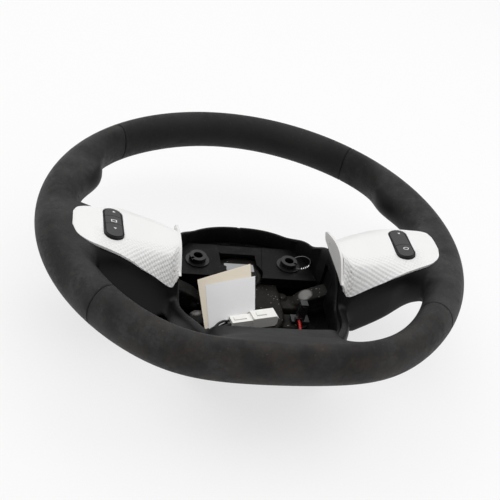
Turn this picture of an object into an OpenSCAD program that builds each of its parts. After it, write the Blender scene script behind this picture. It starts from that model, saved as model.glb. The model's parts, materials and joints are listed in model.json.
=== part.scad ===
// Car steering wheel without its airbag: a leather rim on a moulded grip,
// two pale spoke covers with switch keys, and an open hub.
// The origin is the centre of the column bore on the rear face of the hub.
// +Z points along the steering axis to the driver and +Y to 12 o'clock.

/* [Rim] */
// Outer radius of the rim at 3 and 9 o'clock
rim_r = 185; // [180:0.5:190]
// Outer radius of the rim at 12 o'clock
rim_top_r = 186.5; // [184:0.5:190]
// Distance from the axis to the flattened bottom edge
rim_flat = 175.2; // [172:0.2:180]
// Width of the rim section at 3 and 9 o'clock
rim_w_side = 34.4; // [32:0.2:36]
// Width of the rim section at 12 o'clock
rim_w_top = 26.3; // [25:0.1:29]
// Width of the rim section at the flattened bottom
rim_w_bottom = 21.6; // [21:0.1:25]
// Depth of the rim section along the axis
rim_depth = 38.2; // [36:0.2:40]
// Height of the middle of the rim over the rear face of the hub
rim_plane = 70; // [68:0.5:73]
// How far the thumb rests stand in, as a share of the half width
thumb_out = 0.54; // [0.3:0.02:0.6]
// Angle of the thumb rests above the horizontal
thumb_a = 24; // [22:0.5:27]
// How far the grip narrows above the thumb rests, as a share of the half width
neck_in = 0.41; // [0.2:0.01:0.42]
// Thickness of the leather
leather_t = 1.4; // [1:0.1:1.8]
// Thickness of the glue between leather and grip
glue_t = 0.2; // [0.1:0.05:0.3]
// Angle of the two upper seams above the horizontal
seam_up = 47.4; // [44:0.2:52]
// Angle of the two lower seams below the horizontal
seam_low = 40; // [37:0.5:44]
// Width of the groove at a seam
seam_gap = 0.8; // [0.4:0.1:1.2]
// Diameter of the cast ring inside the grip
ring_d = 11; // [9:0.5:12]

/* [Hub] */
// Half width of the hub cavity
hub_w = 70.3; // [70:0.1:72]
// Reach of the hub cavity above its middle
hub_up = 84; // [80:0.5:88]
// Reach of the hub cavity below its middle
hub_down = 103; // [100:0.5:106]
// Height of the middle of the hub cavity, below the axis
hub_mid = 30; // [28:0.5:32]
// Wall of the moulded grip round the lower cavity
cradle_t = 7; // [6:0.5:9]
// Wall of the rear shroud
shroud_t = 2.5; // [2:0.1:3]
// Radius of the flat ring at the back of the shroud
shroud_foot_r = 50; // [46:0.5:54]
// Depth of the shroud behind the rear face of the hub
shroud_back = 8; // [6:0.5:10]
// Radius of the column opening in the shroud
shroud_hole_r = 33; // [32:0.5:36]
// Height of the flange that carries the grip
flange_z = 19; // [18:0.2:20]
// Height of the shroud lip at 12 o'clock
lip_top_z = 32.5; // [29:0.5:34]

/* [Armature] */
// Radius of the cast hub boss
boss_r = 30; // [28:0.5:31]
// Height of the cast hub plate
plate_z = 15; // [13:0.5:16]
// Height of the boss round the column insert
boss_z = 19; // [18:0.5:21]
// Radius of the steel column insert
insert_r = 12; // [11.5:0.5:14]
// Radius of the plain pilot bore
bore_r = 9; // [8.5:0.1:9.5]
// Length of the plain pilot bore
pilot_len = 8; // [6:0.5:9]
// Number of column splines
spline_n = 36; // [24:1:40]
// Radius of the centre bolt hole
bolt_hole_r = 6.5; // [6:0.1:7]
// Height of an arm section
arm_h = 10; // [8:0.5:11]
// Width of an arm where it leaves the hub
arm_w = 18; // [16:0.5:22]

/* [Airbag mounting] */
// Distance between the two airbag bushes
bush_pitch = 85.2; // [83:0.2:87]
// Height of the bushes above the axis, toward 12 o'clock
bush_y = 11.1; // [9:0.1:13]
// Radius of the hole through a bush
bush_hole_r = 4.2; // [3.8:0.1:4.6]
// Outer radius of a bush ring
bush_ring_r = 7.7; // [7.2:0.1:8.2]
// Height of the plateau that carries the bushes
plateau_z = 23; // [21.5:0.5:24]
// Wall of the airbag bracket
bracket_t = 2.5; // [2:0.1:3]

/* [Spoke covers] */
// Wall of the pale covers
trim_t = 2.2; // [1.8:0.1:2.6]
// Gap between a cover and what it sits in
trim_gap = 0.3; // [0.2:0.05:0.5]
// Distance from the axis to the inner edge of a cover
trim_in_x = 70; // [69.5:0.1:71]
// Distance from the axis to the outer tip of a cover
trim_out_x = 155; // [152:0.5:158]
// Height of a cover at its inner edge
trim_in_z = 73.5; // [72:0.5:75]
// Height of a cover at its outer tip
trim_out_z = 88; // [87:0.1:89]

/* [Switches] */
// Length of a switch opening
pod_l = 43; // [42:0.5:46]
// Width of a switch opening
pod_w = 15.8; // [15:0.2:17]
// Wall of the switch housing
pod_t = 0.9; // [0.7:0.1:1.1]
// Depth of the switch housing
pod_depth = 10; // [9:0.2:11]
// Clearance round each key
key_gap = 0.35; // [0.3:0.05:0.5]
// Travel of a key
key_travel = 0.8; // [0.6:0.05:1]
// Height that the keys stand above the cover
key_proud = 0.7; // [0.5:0.1:1.2]

/* [Connectors] */
// Length of the wide half of the pale connector
socket_l = 22; // [20:0.5:24]
// Width and height of the wide half
socket_w = 11; // [10:0.5:12]
// Length of the narrow half that shows
plug_l = 19; // [17:0.5:21]
// Diameter of a black lead
lead_d = 2.2; // [1.8:0.1:2.6]
// Diameter of the red lead
red_d = 2.6; // [2:0.1:3]

/* [Hidden] */

// How finely the swept forms are drawn
$fn = 48;
section_n = 14;
ring_step = 9.25;
core_step = 15;
hub_n = 48;
round_n = 32;
arc_n = 96;
lead_n = 6;

// Shape of the rim
flat_n = 23;
thumb_spread = 8;
neck_a = 42.7;
neck_spread = 14.8;
seam_dip = 0.7;
seam_lip_a = 0.5;
ring_gap = 0.3;
foam_in = leather_t + glue_t;
ring_r = ring_d / 2;
rim_rear = rim_plane - rim_depth / 2;

// Extra room under the drawn-down inner corner of a cover
corner_gap = 0.4;

// Shape of the hub
hub_p = 2.7;
seat_gap = 0.3;
foot_step = 4;
cavity_floor = flange_z + seat_gap;
ear_out = 6.5;
tail_rise = 6.5;
tail_pull = 0.07;
shroud_steps = [0.3, 0.6, 0.85];
notch_w = 3;

// Armature: the side arms leave the plate low and swell to a rounded knuckle at the hub wall
boss_low_y = -44;
side_arm_y = -25;
knuckle_x = 54;
knuckle_z = 12.5;
knuckle_r = 7;
arm_low_z = 2;
arm_tip = [5, 14, 7];
low_arm = [13, 8, 8];
low_arm_x = 20;
low_arm_y = -64;
low_arm_tip = [12, 4, 7];
insert_wall = 4.5;
tooth = 0.55;
spline_r = bore_r - 0.2;
well_r = 8;
post_r = 4.5;
post_h = 14;
post_ring = shroud_foot_r - 11;
post_at = [for (a = [-30.8, 210.8, 270]) post_ring * [cos(a), sin(a)]];
screw_r = 2;
screw_head_r = 3.6;
screw_head_h = 2.2;
screw_len = 10;
screw_seat_z = -shroud_back + foot_step;

// Airbag bracket, its bushes and the wire beside the right bush
edge_gap = 0.4;
plateau_in_low = 14.6;
plateau_in_high = 21.7;
plateau_front = -9;
plateau_back = 36;
ledge_z = flange_z - 4;
bar_h = 2;
bars = [[58, 73], [79, 86], [93, 99], [106, 122]];
window = [[-21, 6], [13, 25]];
bush_flange_r = 10.8;
bush_flange_h = 1.2;
bush_z = plateau_z + 6;
bush_notch = 2.4;
wire_r = 0.6;
loop_r = 8.8;
loop_turn = 236;

// Switch insides
board_t = 1.6;
dome_r = 2.4;
dome_h = 1.2;
board_z = -pod_depth + pod_t + 0.05;
key_low_z = board_z + board_t + dome_h + key_travel + 0.15;
key_crown_r = 60;
split_r = 18;
left_split = [9.8, -1.7];
right_split = -2.2;
left_domes = [14, 4, -12];
right_domes = [9, -12];

// Connectors
nose_l = 5.5;
plug_w = socket_w - 2;
plug_h = socket_w - 4;
lead_side = 1.7;
harness_w = 6.5;
harness_h = 18;

// Frame of a right-hand switch: its middle and the turn of its face
pod_at = [123.3, -28.4, 85.9];
pod_tilt = [-4.8, -10.2, 0];
pod_turn = -1.8;

// Frame of the pale connector, at a lower corner of its wide half
socket_at = [-2.2, -68.4, plate_z + 0.3];
socket_turn = 14;
black_exit_t = 236;
red_exit_t = 305;
exit_z = 27;
grommet_r = 4.5;
lug_at = [44.6, -48.7];
lug_z = 9;

// Routes of the leads inside the hub
black_route_rear = [[-20.5, -65.1, 20.8], [-24.4, -66, 20.9], [-28.4, -67.6, 21.6], [-32.8, -71.4, 22.2],
    [-36.2, -76, 22.4], [-38.6, -82, 22.4], [-40.4, -90, 22.4], [-42, -99, 23.6], [-43.4, -107, 25.8],
    [-44.6, -113, 26.8]];
black_route_front = [[-19.5, -69.3, 20.8], [-23.4, -70.3, 20.9], [-27, -72.4, 21.4], [-30.8, -76.4, 22],
    [-33.8, -82, 22.4], [-35.8, -88, 22.4], [-37.6, -96, 22.8], [-39.6, -104, 24.6], [-41, -111.6, 26.6]];
red_route = [[42.6, -53.4, 13.4], [42.4, -57.4, 13.6], [41.8, -63, 13.2], [41, -70, 12.8],
    [40.4, -78, 12.8], [40.4, -86, 14], [41, -95, 17], [42, -104, 22.4], [43, -111, 26]];

// Whole-ring helpers

function ramp(v, lo, hi) = let (u = min(1, max(0, (v - lo) / (hi - lo)))) u * u * (3 - 2 * u);
function unit(v) = v / norm(v);

// Faces of a skin made of rings of points, two triangles to each quad
function skin(rings, pts, around, along, first, turned) = [
    for (i = [0 : rings - (along ? 1 : 2)], k = [0 : pts - (around ? 1 : 2)])
        let (
            a = first + i * pts + k,
            b = first + i * pts + (k + 1) % pts,
            c = first + ((i + 1) % rings) * pts + (k + 1) % pts,
            d = first + ((i + 1) % rings) * pts + k
        )
        each turned ? [[a, b, c], [a, c, d]] : [[a, c, b], [a, d, c]]
];
function flipped(faces, f) = f ? [for (t = faces) [t[0], t[2], t[1]]] : faces;
function middle(ring) = [for (p = ring) 1] * ring / len(ring);
// True where the rings' own order faces outwards from a point inside
function faces_out(rings, inside) =
    let (p = rings[0][0]) cross(rings[1][0] - p, rings[0][1] - p) * (p - inside) > 0;

// A solid through a row of closed, convex sections
module loft(rings, along = false) {
    n = len(rings);
    m = len(rings[0]);
    out = faces_out(rings, middle(rings[0]));
    start = [for (k = [1 : m - 2]) [0, k, k + 1]];
    end = [for (k = [1 : m - 2]) [(n - 1) * m, (n - 1) * m + k + 1, (n - 1) * m + k]];
    polyhedron(
        points = [for (r = rings) each r],
        faces = concat(skin(n, m, true, along, 0, out), along ? [] : flipped(concat(start, end), out))
    );
}

// A wall between two skins that have the same number of rings and points
module wall_loft(outer, inner, around = false, along = false) {
    n = len(outer);
    m = len(outer[0]);
    o = n * m;
    out = faces_out(outer, inner[0][0]);
    ends = [for (k = [0 : m - (around ? 1 : 2)], i = [0, n - 1])
        let (a = i * m + k, b = i * m + (k + 1) % m)
        each i == 0 ? [[a, b, b + o], [a, b + o, a + o]] : [[a, b + o, b], [a, a + o, b + o]]];
    edges = [for (i = [0 : n - (along ? 1 : 2)], k = [0, m - 1])
        let (a = i * m + k, b = ((i + 1) % n) * m + k)
        each k == 0 ? [[a, b + o, b], [a, a + o, b + o]] : [[a, b, b + o], [a, b + o, a + o]]];
    polyhedron(
        points = concat([for (r = outer) each r], [for (r = inner) each r]),
        faces = concat(
            skin(n, m, around, along, 0, out),
            skin(n, m, around, along, o, !out),
            along ? [] : flipped(ends, out),
            around ? [] : flipped(edges, out)
        )
    );
}

module right_and_left() {
    children();
    mirror([1, 0, 0]) children();
}

// Rim

function fold(a) = asin(sin(a));
function rim_base(a) = rim_r + (rim_top_r - rim_r) * pow(max(0, sin(a)), 2);
function rim_out(a) =
    pow(pow(rim_base(a), -flat_n) + pow(max(0, -sin(a)) / rim_flat, flat_n), -1 / flat_n);
function rim_pt(a) = rim_out(a) * [cos(a), sin(a)];
function rim_normal(a) = let (d = rim_pt(a + 0.5) - rim_pt(a - 0.5)) unit([d.y, -d.x]);
function rim_w(a) =
    rim_w_side + ((sin(a) > 0 ? rim_w_top : rim_w_bottom) - rim_w_side) * pow(sin(a), 2);
function rim_mid(a) = rim_pt(a) - rim_normal(a) * rim_w(a) / 2;
function bell(v, middle, spread) = exp(-pow((v - middle) / spread, 2));
function thumb(a) = 1 + thumb_out * bell(fold(a), thumb_a, thumb_spread)
    - neck_in * bell(fold(a), neck_a, neck_spread);

// The rim section at an angle, inset by a depth t
function rim_section(a, t) = [
    for (k = [0 : section_n - 1])
        let (
            ph = 360 * k / section_n,
            half = rim_w(a) / 2 * (cos(ph) < -0.01 ? thumb(a) : 1) - t,
            p = rim_mid(a) + rim_normal(a) * half * cos(ph)
        )
        [p.x, p.y, rim_plane + (rim_depth / 2 - t) * sin(ph)]
];

function ring_section(a, r) = [
    for (k = [0 : 7])
        let (ph = 360 * k / 8 + 22.5, p = rim_mid(a) + rim_normal(a) * r * cos(ph))
        [p.x, p.y, rim_plane + r * sin(ph)]
];

module ring_core(clear) {
    loft([for (a = [0 : core_step : 359]) ring_section(a, ring_r + clear)], along = true);
}

// Angles of the sections between two seams, close together at the seams
function panel_angles(a0, a1) =
    let (
        gap_a = seam_gap / 2 / rim_r * 180 / PI,
        s0 = a0 + gap_a,
        s1 = a1 - gap_a,
        n = round((s1 - s0) / ring_step)
    )
    concat([s0, s0 + seam_lip_a], [for (i = [1 : n - 1]) s0 + (s1 - s0) * i / n], [s1 - seam_lip_a, s1]);
seams = [-seam_low, seam_up, 180 - seam_up, 180 + seam_low, 360 - seam_low];

// One leather panel from seam to seam, its edges tucked into the groove
module leather_panel(a0, a1) {
    angles = panel_angles(a0, a1);
    last = len(angles) - 1;
    wall_loft(
        [for (i = [0 : last]) rim_section(angles[i], i == 0 || i == last ? seam_dip : 0)],
        [for (a = angles) rim_section(a, leather_t)],
        around = true
    );
}

// Spoke covers

// Stations of a cover: distance out, upper edge, its drop, lower edge, its drop
trim_rows = [
    [0, 0, 6, -58.5, 12],
    [0.045, 2.3, 7.2, -61.4, 23.6],
    [0.075, 3.7, 8, -63.4, 23],
    [0.165, 6.4, 9, -64.3, 18.6],
    [0.26, 8, 9.5, -65, 14.2],
    [0.355, 7.2, 8.5, -65.2, 10.3],
    [0.47, 2.4, 5.5, -65, 4.8],
    [0.59, -3.6, 3, -63.2, 1.9],
    [0.72, -7.8, 1.6, -60, 1],
    [0.82, -9, 1, -57, 0.8],
    [0.9, -9.6, 0.8, -52, 0.8],
    [0.96, -11.4, 0.8, -45.5, 0.8],
    [1, -17, 1, -35, 1]
];
function trim_x(u) = trim_in_x + (trim_out_x - trim_in_x) * u;
function trim_front(x) =
    let (u = min(1, max(0, (x - trim_in_x) / (trim_out_x - 14 - trim_in_x))))
    trim_in_z + (trim_out_z - trim_in_z) * (1 - pow(1 - u, 1.3));
function trim_curve(row, n = 12) = [
    for (k = [0 : n])
        let (
            s = (1 - cos(180 * k / n)) / 2,
            y = row[1] + (row[3] - row[1]) * s,
            up = max(0, 1 - (row[1] - y) / 9),
            low = max(0, 1 - (y - row[3]) / 15)
        )
        [y, trim_front(trim_x(row[0])) - row[2] * pow(up, 2) - row[4] * pow(low, 1.6)]
];
function curve_normal(c, k) =
    let (d = c[min(k + 1, len(c) - 1)] - c[max(k - 1, 0)]) unit([-d.y, d.x]) * (d.x < 0 ? -1 : 1);
// The curve of a station moved in by t, its two ends standing out by grow
function trim_ring(row, t, grow = 0) =
    let (c = trim_curve(row), n = len(c) - 1)
    [for (k = [0 : n])
        let (
            p = c[k] - curve_normal(c, k) * t,
            side = k == 0 ? grow : k == n ? -grow : 0,
            sink = grow * 6 * max(0, 1 - min(k, n - k) / 2)
        )
        [trim_x(row[0]), side == 0 ? p.x : c[k].x + side, p.y - sink]];
module trim_shell() {
    wall_loft([for (r = trim_rows) trim_ring(r, 0)], [for (r = trim_rows) trim_ring(r, trim_t)]);
}

// Everything in front of the seat of a cover
module trim_space() {
    lift = 16;
    rings = [for (r = trim_rows)
        trim_ring(r, trim_t + trim_gap + corner_gap * ramp(r[0], 0.3, 0.1), trim_gap)];
    low = concat(
        [[for (p = rings[0]) [trim_in_x - 6, p.y, p.z]]],
        rings,
        [[for (p = rings[len(rings) - 1]) p + [trim_gap, 0, 0]]]
    );
    wall_loft([for (r = low) [for (p = r) p + [0, 0, lift]]], low);
}

// The wall that closes the inner end of a cover, with its tongue and slot
module trim_end_wall() {
    z = trim_in_z;
    translate([trim_in_x - trim_t, 0, 0])
        rotate([90, 0, 90])
            linear_extrude(trim_t)
                difference() {
                    polygon([[-58.5, z - 11.8], [-55.5, z - 5.5], [-51, z - 1.8], [-44, z],
                        [-9, z], [-4, z - 1.3], [0, z - 4], [6, z - 6], [8.5, z - 9.5],
                        [5.5, z - 12], [-44, z - 12.5], [-56, z - 14]]);
                    translate([-3, z - 10.5]) square([5.5, 1.6]);
                }
}

module cover() {
    difference() {
        union() {
            trim_shell();
            trim_end_wall();
        }
        at_switch() linear_extrude(40, center = true) pill(trim_gap);
    }
}

// Switches

module at_switch() {
    translate(pod_at) rotate(pod_tilt) rotate([0, 0, pod_turn]) children();
}

// Outline of a switch opening, grown by g
module pill(g) {
    r = pod_w / 2;
    reach = pod_l / 2 - r;
    union() {
        for (s = [-1, 1]) translate([0, s * reach]) circle(r + g, $fn = round_n);
        square([2 * (r + g), 2 * reach], center = true);
    }
}

module housing() {
    at_switch() difference() {
        translate([0, 0, -pod_depth]) linear_extrude(pod_depth) pill(0);
        translate([0, 0, -pod_depth + pod_t]) linear_extrude(pod_depth) pill(-pod_t);
    }
}

// The board and the rubber domes under the keys, one dome at each height in ys
module board(ys) {
    at_switch() {
        translate([0, 0, board_z]) linear_extrude(board_t) pill(-pod_t - 0.15);
        for (y = ys) translate([0, y, board_z + board_t - 0.1])
            cylinder(r1 = dome_r, r2 = dome_r * 0.7, h = dome_h + 0.1, $fn = round_n);
    }
}

// Arcs that part the keys, bowed toward the upper end
module below_arc(y, grow) {
    translate([0, y - split_r]) circle(split_r + grow, $fn = arc_n);
    translate([0, y - split_r - 15]) square([60, 30], center = true);
}

// A key between two heights: from_y and to_y are arcs, or undef at an end
module key(from_y, to_y) {
    g = key_gap / 2;
    at_switch() intersection() {
        translate([0, 0, key_low_z]) linear_extrude(20)
            difference() {
                intersection() {
                    pill(-pod_t - key_gap);
                    if (is_undef(to_y)) square([40, 60], center = true);
                    else below_arc(to_y, -g);
                }
                if (!is_undef(from_y)) below_arc(from_y, g);
            }
        translate([0, 0, key_proud - key_crown_r]) rotate([90, 0, 0])
            cylinder(r = key_crown_r, h = 2 * pod_l, center = true, $fn = 2 * arc_n);
    }
}

// Hub

function hub_pt(t, off) =
    let (
        c = cos(t), s = sin(t),
        b = s > 0 ? hub_up : hub_down
    )
    [(hub_w + off) * sign(c) * pow(abs(c), 2 / hub_p),
     -hub_mid + (b + off) * sign(s) * pow(abs(s), 2 / hub_p)];
hub_angles = [for (i = [0 : hub_n - 1]) 360 * (i + 0.5) / hub_n];
function hub_outline(off) = [for (t = hub_angles) hub_pt(t, off)];

// Height of the grip wall round the lower cavity
function cradle_z(t) =
    let (u = abs(270 - t))
    54.5 - 14.5 * ramp(u, 45, 82) + 20 * (1 - ramp(u, 4, 42));
// Height of the shroud lip
function lip_z(t) =
    let (u = abs(90 - t))
    t < 180 && u < 90
        ? lip_top_z - 0.5 * ramp(u, 0, 25) + 9.4 * ramp(u, 30, 60) + 18.6 * ramp(u, 58, 84)
        : let (v = abs(270 - t)) cradle_z(t) - 5 + (60 - 35) * ramp(v, 76, 90);
// Share of the rise toward 6 o'clock, where the shroud climbs behind the rim
function tail(t) = 1 - ramp(abs(270 - t), 25, 45);
function flange_top(t) = flange_z + tail_rise * tail(t);
// How far the shroud flange stands out, more in the ears under the spokes
function flange_off(t) =
    let (u = abs(90 - t), v = abs(270 - t))
    t < 180
        ? 1.6 + (cradle_t - 2) * ramp(u, 62, 74) + ear_out * ramp(u, 68, 78)
        : cradle_t - 0.4 + ear_out * ramp(v, 62, 78) - 3.6 * tail(t);
// Points of the bowl between its foot and its flange, drawn in a little toward 6 o'clock
function shroud_bowl(t, foot, rim, low, high) =
    let (pull = 1 - tail_pull * (1 - ramp(abs(270 - t), 25, 60)))
    [for (s = shroud_steps)
        concat(foot + (rim - foot) * sin(90 * s) * pull, [low + (high - low) * (1 - cos(90 * s))])];

function shroud_outer(t) =
    let (
        d = [cos(t), sin(t)],
        foot = shroud_foot_r * d,
        rim = hub_pt(t, flange_off(t)),
        low = -shroud_back,
        top = flange_top(t),
        wall = hub_pt(t, -seat_gap)
    )
    concat(
        [concat(shroud_hole_r * d, [low + foot_step]), concat((shroud_foot_r - 5) * d, [low + foot_step]),
         concat((shroud_foot_r - 3.5) * d, [low]), concat(foot, [low])],
        shroud_bowl(t, foot, rim, low, top - 3),
        [concat(rim, [top - 3]), concat(rim, [top]), concat(wall, [top]), concat(wall, [lip_z(t)])]
    );
function shroud_inner(t) =
    let (
        d = [cos(t), sin(t)],
        foot = (shroud_foot_r - 1.5) * d,
        rim = hub_pt(t, flange_off(t) - shroud_t),
        wall = hub_pt(t, -seat_gap - shroud_t),
        low = -shroud_back + shroud_t,
        top = flange_top(t)
    )
    concat(
        [concat(shroud_hole_r * d, [low + foot_step]), concat((shroud_foot_r - 6) * d, [low + foot_step]),
         concat((shroud_foot_r - 4.4) * d, [low + 1]), concat(foot, [low])],
        shroud_bowl(t, foot, rim, low, top - 3 - shroud_t),
        [concat(rim, [top - 5]), concat(rim, [top - shroud_t]), concat(wall, [top - shroud_t]),
         concat(wall, [lip_z(t)])]
    );
// The way out of the hub wall at t
function hub_way(t) = let (d = hub_pt(t + 1, 0) - hub_pt(t - 1, 0)) unit([d.y, -d.x]);
module at_wall(t, z) {
    p = hub_pt(t, -seat_gap - shroud_t);
    w = hub_way(t);
    translate([p.x, p.y, z]) rotate([0, 90, atan2(w.y, w.x)]) children();
}

module hub_space(off, z0, z1) {
    translate([0, 0, z0]) linear_extrude(z1 - z0) polygon(hub_outline(off));
}

// Armature

module knuckle(g) {
    translate([knuckle_x, side_arm_y, knuckle_z]) rotate([90, 0, 0])
        cylinder(r = knuckle_r + g, h = arm_w - 2 + 2 * g, center = true, $fn = 20);
}

// A box with its middle at a point, grown by g
module block(at, size, g) {
    translate(at) cube(size + 2 * g * [1, 1, 1], center = true);
}

// Solid form of the cast arms, grown by g
module arms(g) {
    side = rim_mid(-8);
    low = rim_mid(-79);
    right_and_left() {
        translate([0, side_arm_y - arm_w / 2 - g, arm_low_z - g])
            cube([knuckle_x - knuckle_r, arm_w + 2 * g, arm_h - 2 + 2 * g]);
        hull() {
            translate([knuckle_x - knuckle_r, side_arm_y, arm_low_z - g])
                cylinder(r = arm_w / 2 - 1 + g, h = arm_h - 2 + 2 * g, $fn = 20);
            knuckle(g);
        }
        hull() {
            knuckle(g);
            block([side.x, side.y, rim_plane], arm_tip, g);
        }
        hull() {
            block([low_arm_x, low_arm_y, 5], low_arm, g);
            block([low.x, low.y, rim_plane], low_arm_tip, g);
        }
    }
}

module plate_form(g = 0) {
    circle(boss_r + g);
    translate([0, boss_low_y]) circle(boss_r + g);
    translate([0, boss_low_y / 2]) square([2 * (boss_r + g), -boss_low_y], center = true);
}

module lugs() {
    right_and_left() translate([0, 0, 2]) linear_extrude(lug_z - 2) {
        translate(lug_at) circle(9);
        translate([lug_at.x / 2 + 8, lug_at.y]) square([lug_at.x - 16, 18], center = true);
    }
}

module armature() {
    color("#8a8782")
        difference() {
            union() {
                ring_core(0);
                arms(0);
                linear_extrude(plate_z) plate_form();
                lugs();
                cylinder(r = insert_r + insert_wall, h = boss_z);
                for (p = post_at) translate([p.x, p.y, -shroud_back + foot_step + shroud_t + seat_gap])
                    cylinder(r = post_r, h = post_h);
            }
            translate([0, 0, -20]) cylinder(r = insert_r + 0.03, h = 60);
            for (p = post_at) translate([p.x, p.y, -20]) cylinder(r = screw_r + 0.05, h = 30);
            translate([0, boss_low_y - 12, plate_z - 3]) cylinder(r = well_r, h = 10);
        }
}

module column_insert() {
    color("#6b6a6c")
        difference() {
            cylinder(r = insert_r, h = boss_z);
            translate([0, 0, -1]) cylinder(r = bore_r, h = pilot_len + 1);
            translate([0, 0, pilot_len - 0.01]) linear_extrude(boss_z - pilot_len - 5)
                polygon([for (i = [0 : 2 * spline_n - 1])
                    let (a = 180 * i / spline_n) (spline_r - (i % 2 == 0 ? 0 : tooth)) * [cos(a), sin(a)]]);
            translate([0, 0, boss_z - 5]) cylinder(r = bolt_hole_r, h = 10);
        }
}

// Grip

spoke_x = [68, 76, 84, 92, 100, 108, 117, 126, 134, 141, 147, 153, 160];
function row_at(x, i) =
    lookup((x - trim_in_x) / (trim_out_x - trim_in_x), [for (r = trim_rows) [r[0], r[i]]]);
// A quarter round that starts at 0 and reaches 1
function quarter(v) = 1 - sqrt(1 - pow(min(1, max(0, v)), 2));
function spoke_rear(x) =
    max(cavity_floor + 0.5, rim_rear + 0.4 - 36 * pow(max(0, 140 - x) / 52, 1.7));
function spoke_low(x) = row_at(min(x, 131), 3) - 0.6 - 22 * quarter((x - 128) / 26);
function spoke_high(x) = row_at(min(x, 134), 1) + 0.8 + 12 * quarter((x - 132) / 24);
function spoke_section(x) =
    let (
        tip = ramp(x, 152, 160),
        yt = spoke_high(x) * (1 - tip),
        yb = spoke_low(x) * (1 - tip) - 58 * tip,
        front = trim_front(min(x, trim_out_x)) - 0.2 * tip,
        dt = row_at(x, 2) * (1 - ramp(x, 120, 134)),
        db = row_at(x, 4) * (1 - ramp(x, 120, 134)),
        rear = spoke_rear(x),
        mid = min(front - db - 1, rear + 15)
    )
    [for (p = [
        [yt, front - dt - 0.4], [yt - 5, front - dt * 0.3 - 0.1], [yb + 9, front - db * 0.25 - 0.1],
        [yb, front - db - 0.4], [yb, mid], [yb + 1.6, rear + 6], [yb + 6, rear + 1.6], [yb + 12, rear],
        [yt - 12, rear], [yt - 6, rear + 1.6], [yt - 1.6, rear + 6], [yt, mid]
    ]) [x, p.x, p.y]];

module spoke() {
    loft([for (x = spoke_x) spoke_section(x)]);
}

// The underside of the grip, just clear of the shroud flange
function floor_z(t) = flange_top(t) + seat_gap;

// The grip wall round the lower half of the cavity
cradle_angles = [for (t = [183 : 6 : 357]) t];
function cradle_ring(t) =
    let (i = hub_pt(t, -2), o = hub_pt(t, cradle_t), z = cradle_z(t))
    [concat(i, [floor_z(t)]), concat(i, [z - 0.4]), concat(hub_pt(t, 1.5), [z - 0.1]),
     concat(hub_pt(t, cradle_t * 0.55), [z]), concat(hub_pt(t, cradle_t * 0.88), [z - 1.2]),
     concat(o, [z - 4]), concat(o, [floor_z(t)])];
module cradle() {
    loft([for (t = cradle_angles) cradle_ring(t)]);
}

// The broad spoke at 6 o'clock
foot_rows = [[-112, 50], [-126, 52.5], [-136, 55], [-144, 61], [-151, 72], [-156, 86]];
function foot_ring(row) =
    let (
        y = row[0], w = row[1],
        u = ramp(y, -128, -160),
        rise = 11 * ramp(-y, 128, 154),
        top = 74.5 + rise,
        rear = floor_z(270) + 2 + (rim_rear - floor_z(270)) * ramp(-y, 118, 154)
    )
    [[w, y, rear + 12], [w, y, top - 20 + rise * 0.75], [w - 9, y, top - 15 + rise * 0.85],
     [w - 22, y, top - 6 + rise * 0.4], [w - 36, y, top - 0.8], [0, y, top],
     [36 - w, y, top - 0.8], [22 - w, y, top - 6 + rise * 0.4], [9 - w, y, top - 15 + rise * 0.85],
     [-w, y, top - 20 + rise * 0.75], [-w, y, rear + 12], [9 - w, y, rear], [w - 9, y, rear]];
module foot() {
    loft([for (r = foot_rows) foot_ring(r)]);
}

module grip_form() {
    loft(
        [for (i = [0 : 3], a = panel_angles(seams[i], seams[i + 1])) rim_section(a, foam_in)],
        along = true
    );
    right_and_left() spoke();
    cradle();
    foot();
}

module grip_foam() {
    color("#2b2a2b")
        difference() {
            grip_form();
            hub_space(0, 0, 120);
            ring_core(ring_gap);
            arms(ring_gap);
            right_and_left() {
                trim_space();
                translate([trim_in_x - 8, -60, trim_in_z - 15]) cube([8 + trim_gap, 70, 40]);
                at_switch() translate([0, 0, -pod_depth - trim_gap])
                    linear_extrude(40) pill(trim_gap);
            }
        }
}

// Leather

module side_leather(a0, a1, left) {
    difference() {
        leather_panel(a0, a1);
        mirror([left ? 1 : 0, 0, 0]) {
            spoke();
            trim_space();
        }
    }
}

module leather_top() {
    color("#333133") leather_panel(seam_up, 180 - seam_up);
}
module leather_right() {
    color("#333133") side_leather(-seam_low, seam_up, false);
}
module leather_left() {
    color("#333133") side_leather(180 - seam_up, 180 + seam_low, true);
}
module leather_bottom() {
    color("#333133") difference() {
        leather_panel(180 + seam_low, 360 - seam_low);
        foot();
    }
}

module trim_right() {
    color("#efeeec") cover();
}
module trim_left() {
    color("#efeeec") mirror([1, 0, 0]) cover();
}
module switch_housing_right() {
    color("#1c1c1e") housing();
}
module switch_housing_left() {
    color("#1c1c1e") mirror([1, 0, 0]) housing();
}
module switch_board_right() {
    color("#2f5a3a") board(right_domes);
}
module switch_board_left() {
    color("#2f5a3a") mirror([1, 0, 0]) board(left_domes);
}
module key_right_up() {
    color("#29292c") key(right_split, undef);
}
module key_right_down() {
    color("#29292c") key(undef, right_split);
}
module key_left_up() {
    color("#29292c") mirror([1, 0, 0]) key(left_split[0], undef);
}
module key_left_middle() {
    color("#29292c") mirror([1, 0, 0]) key(left_split[1], left_split[0]);
}
module key_left_down() {
    color("#29292c") mirror([1, 0, 0]) key(undef, left_split[1]);
}

// Rear shroud

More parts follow.
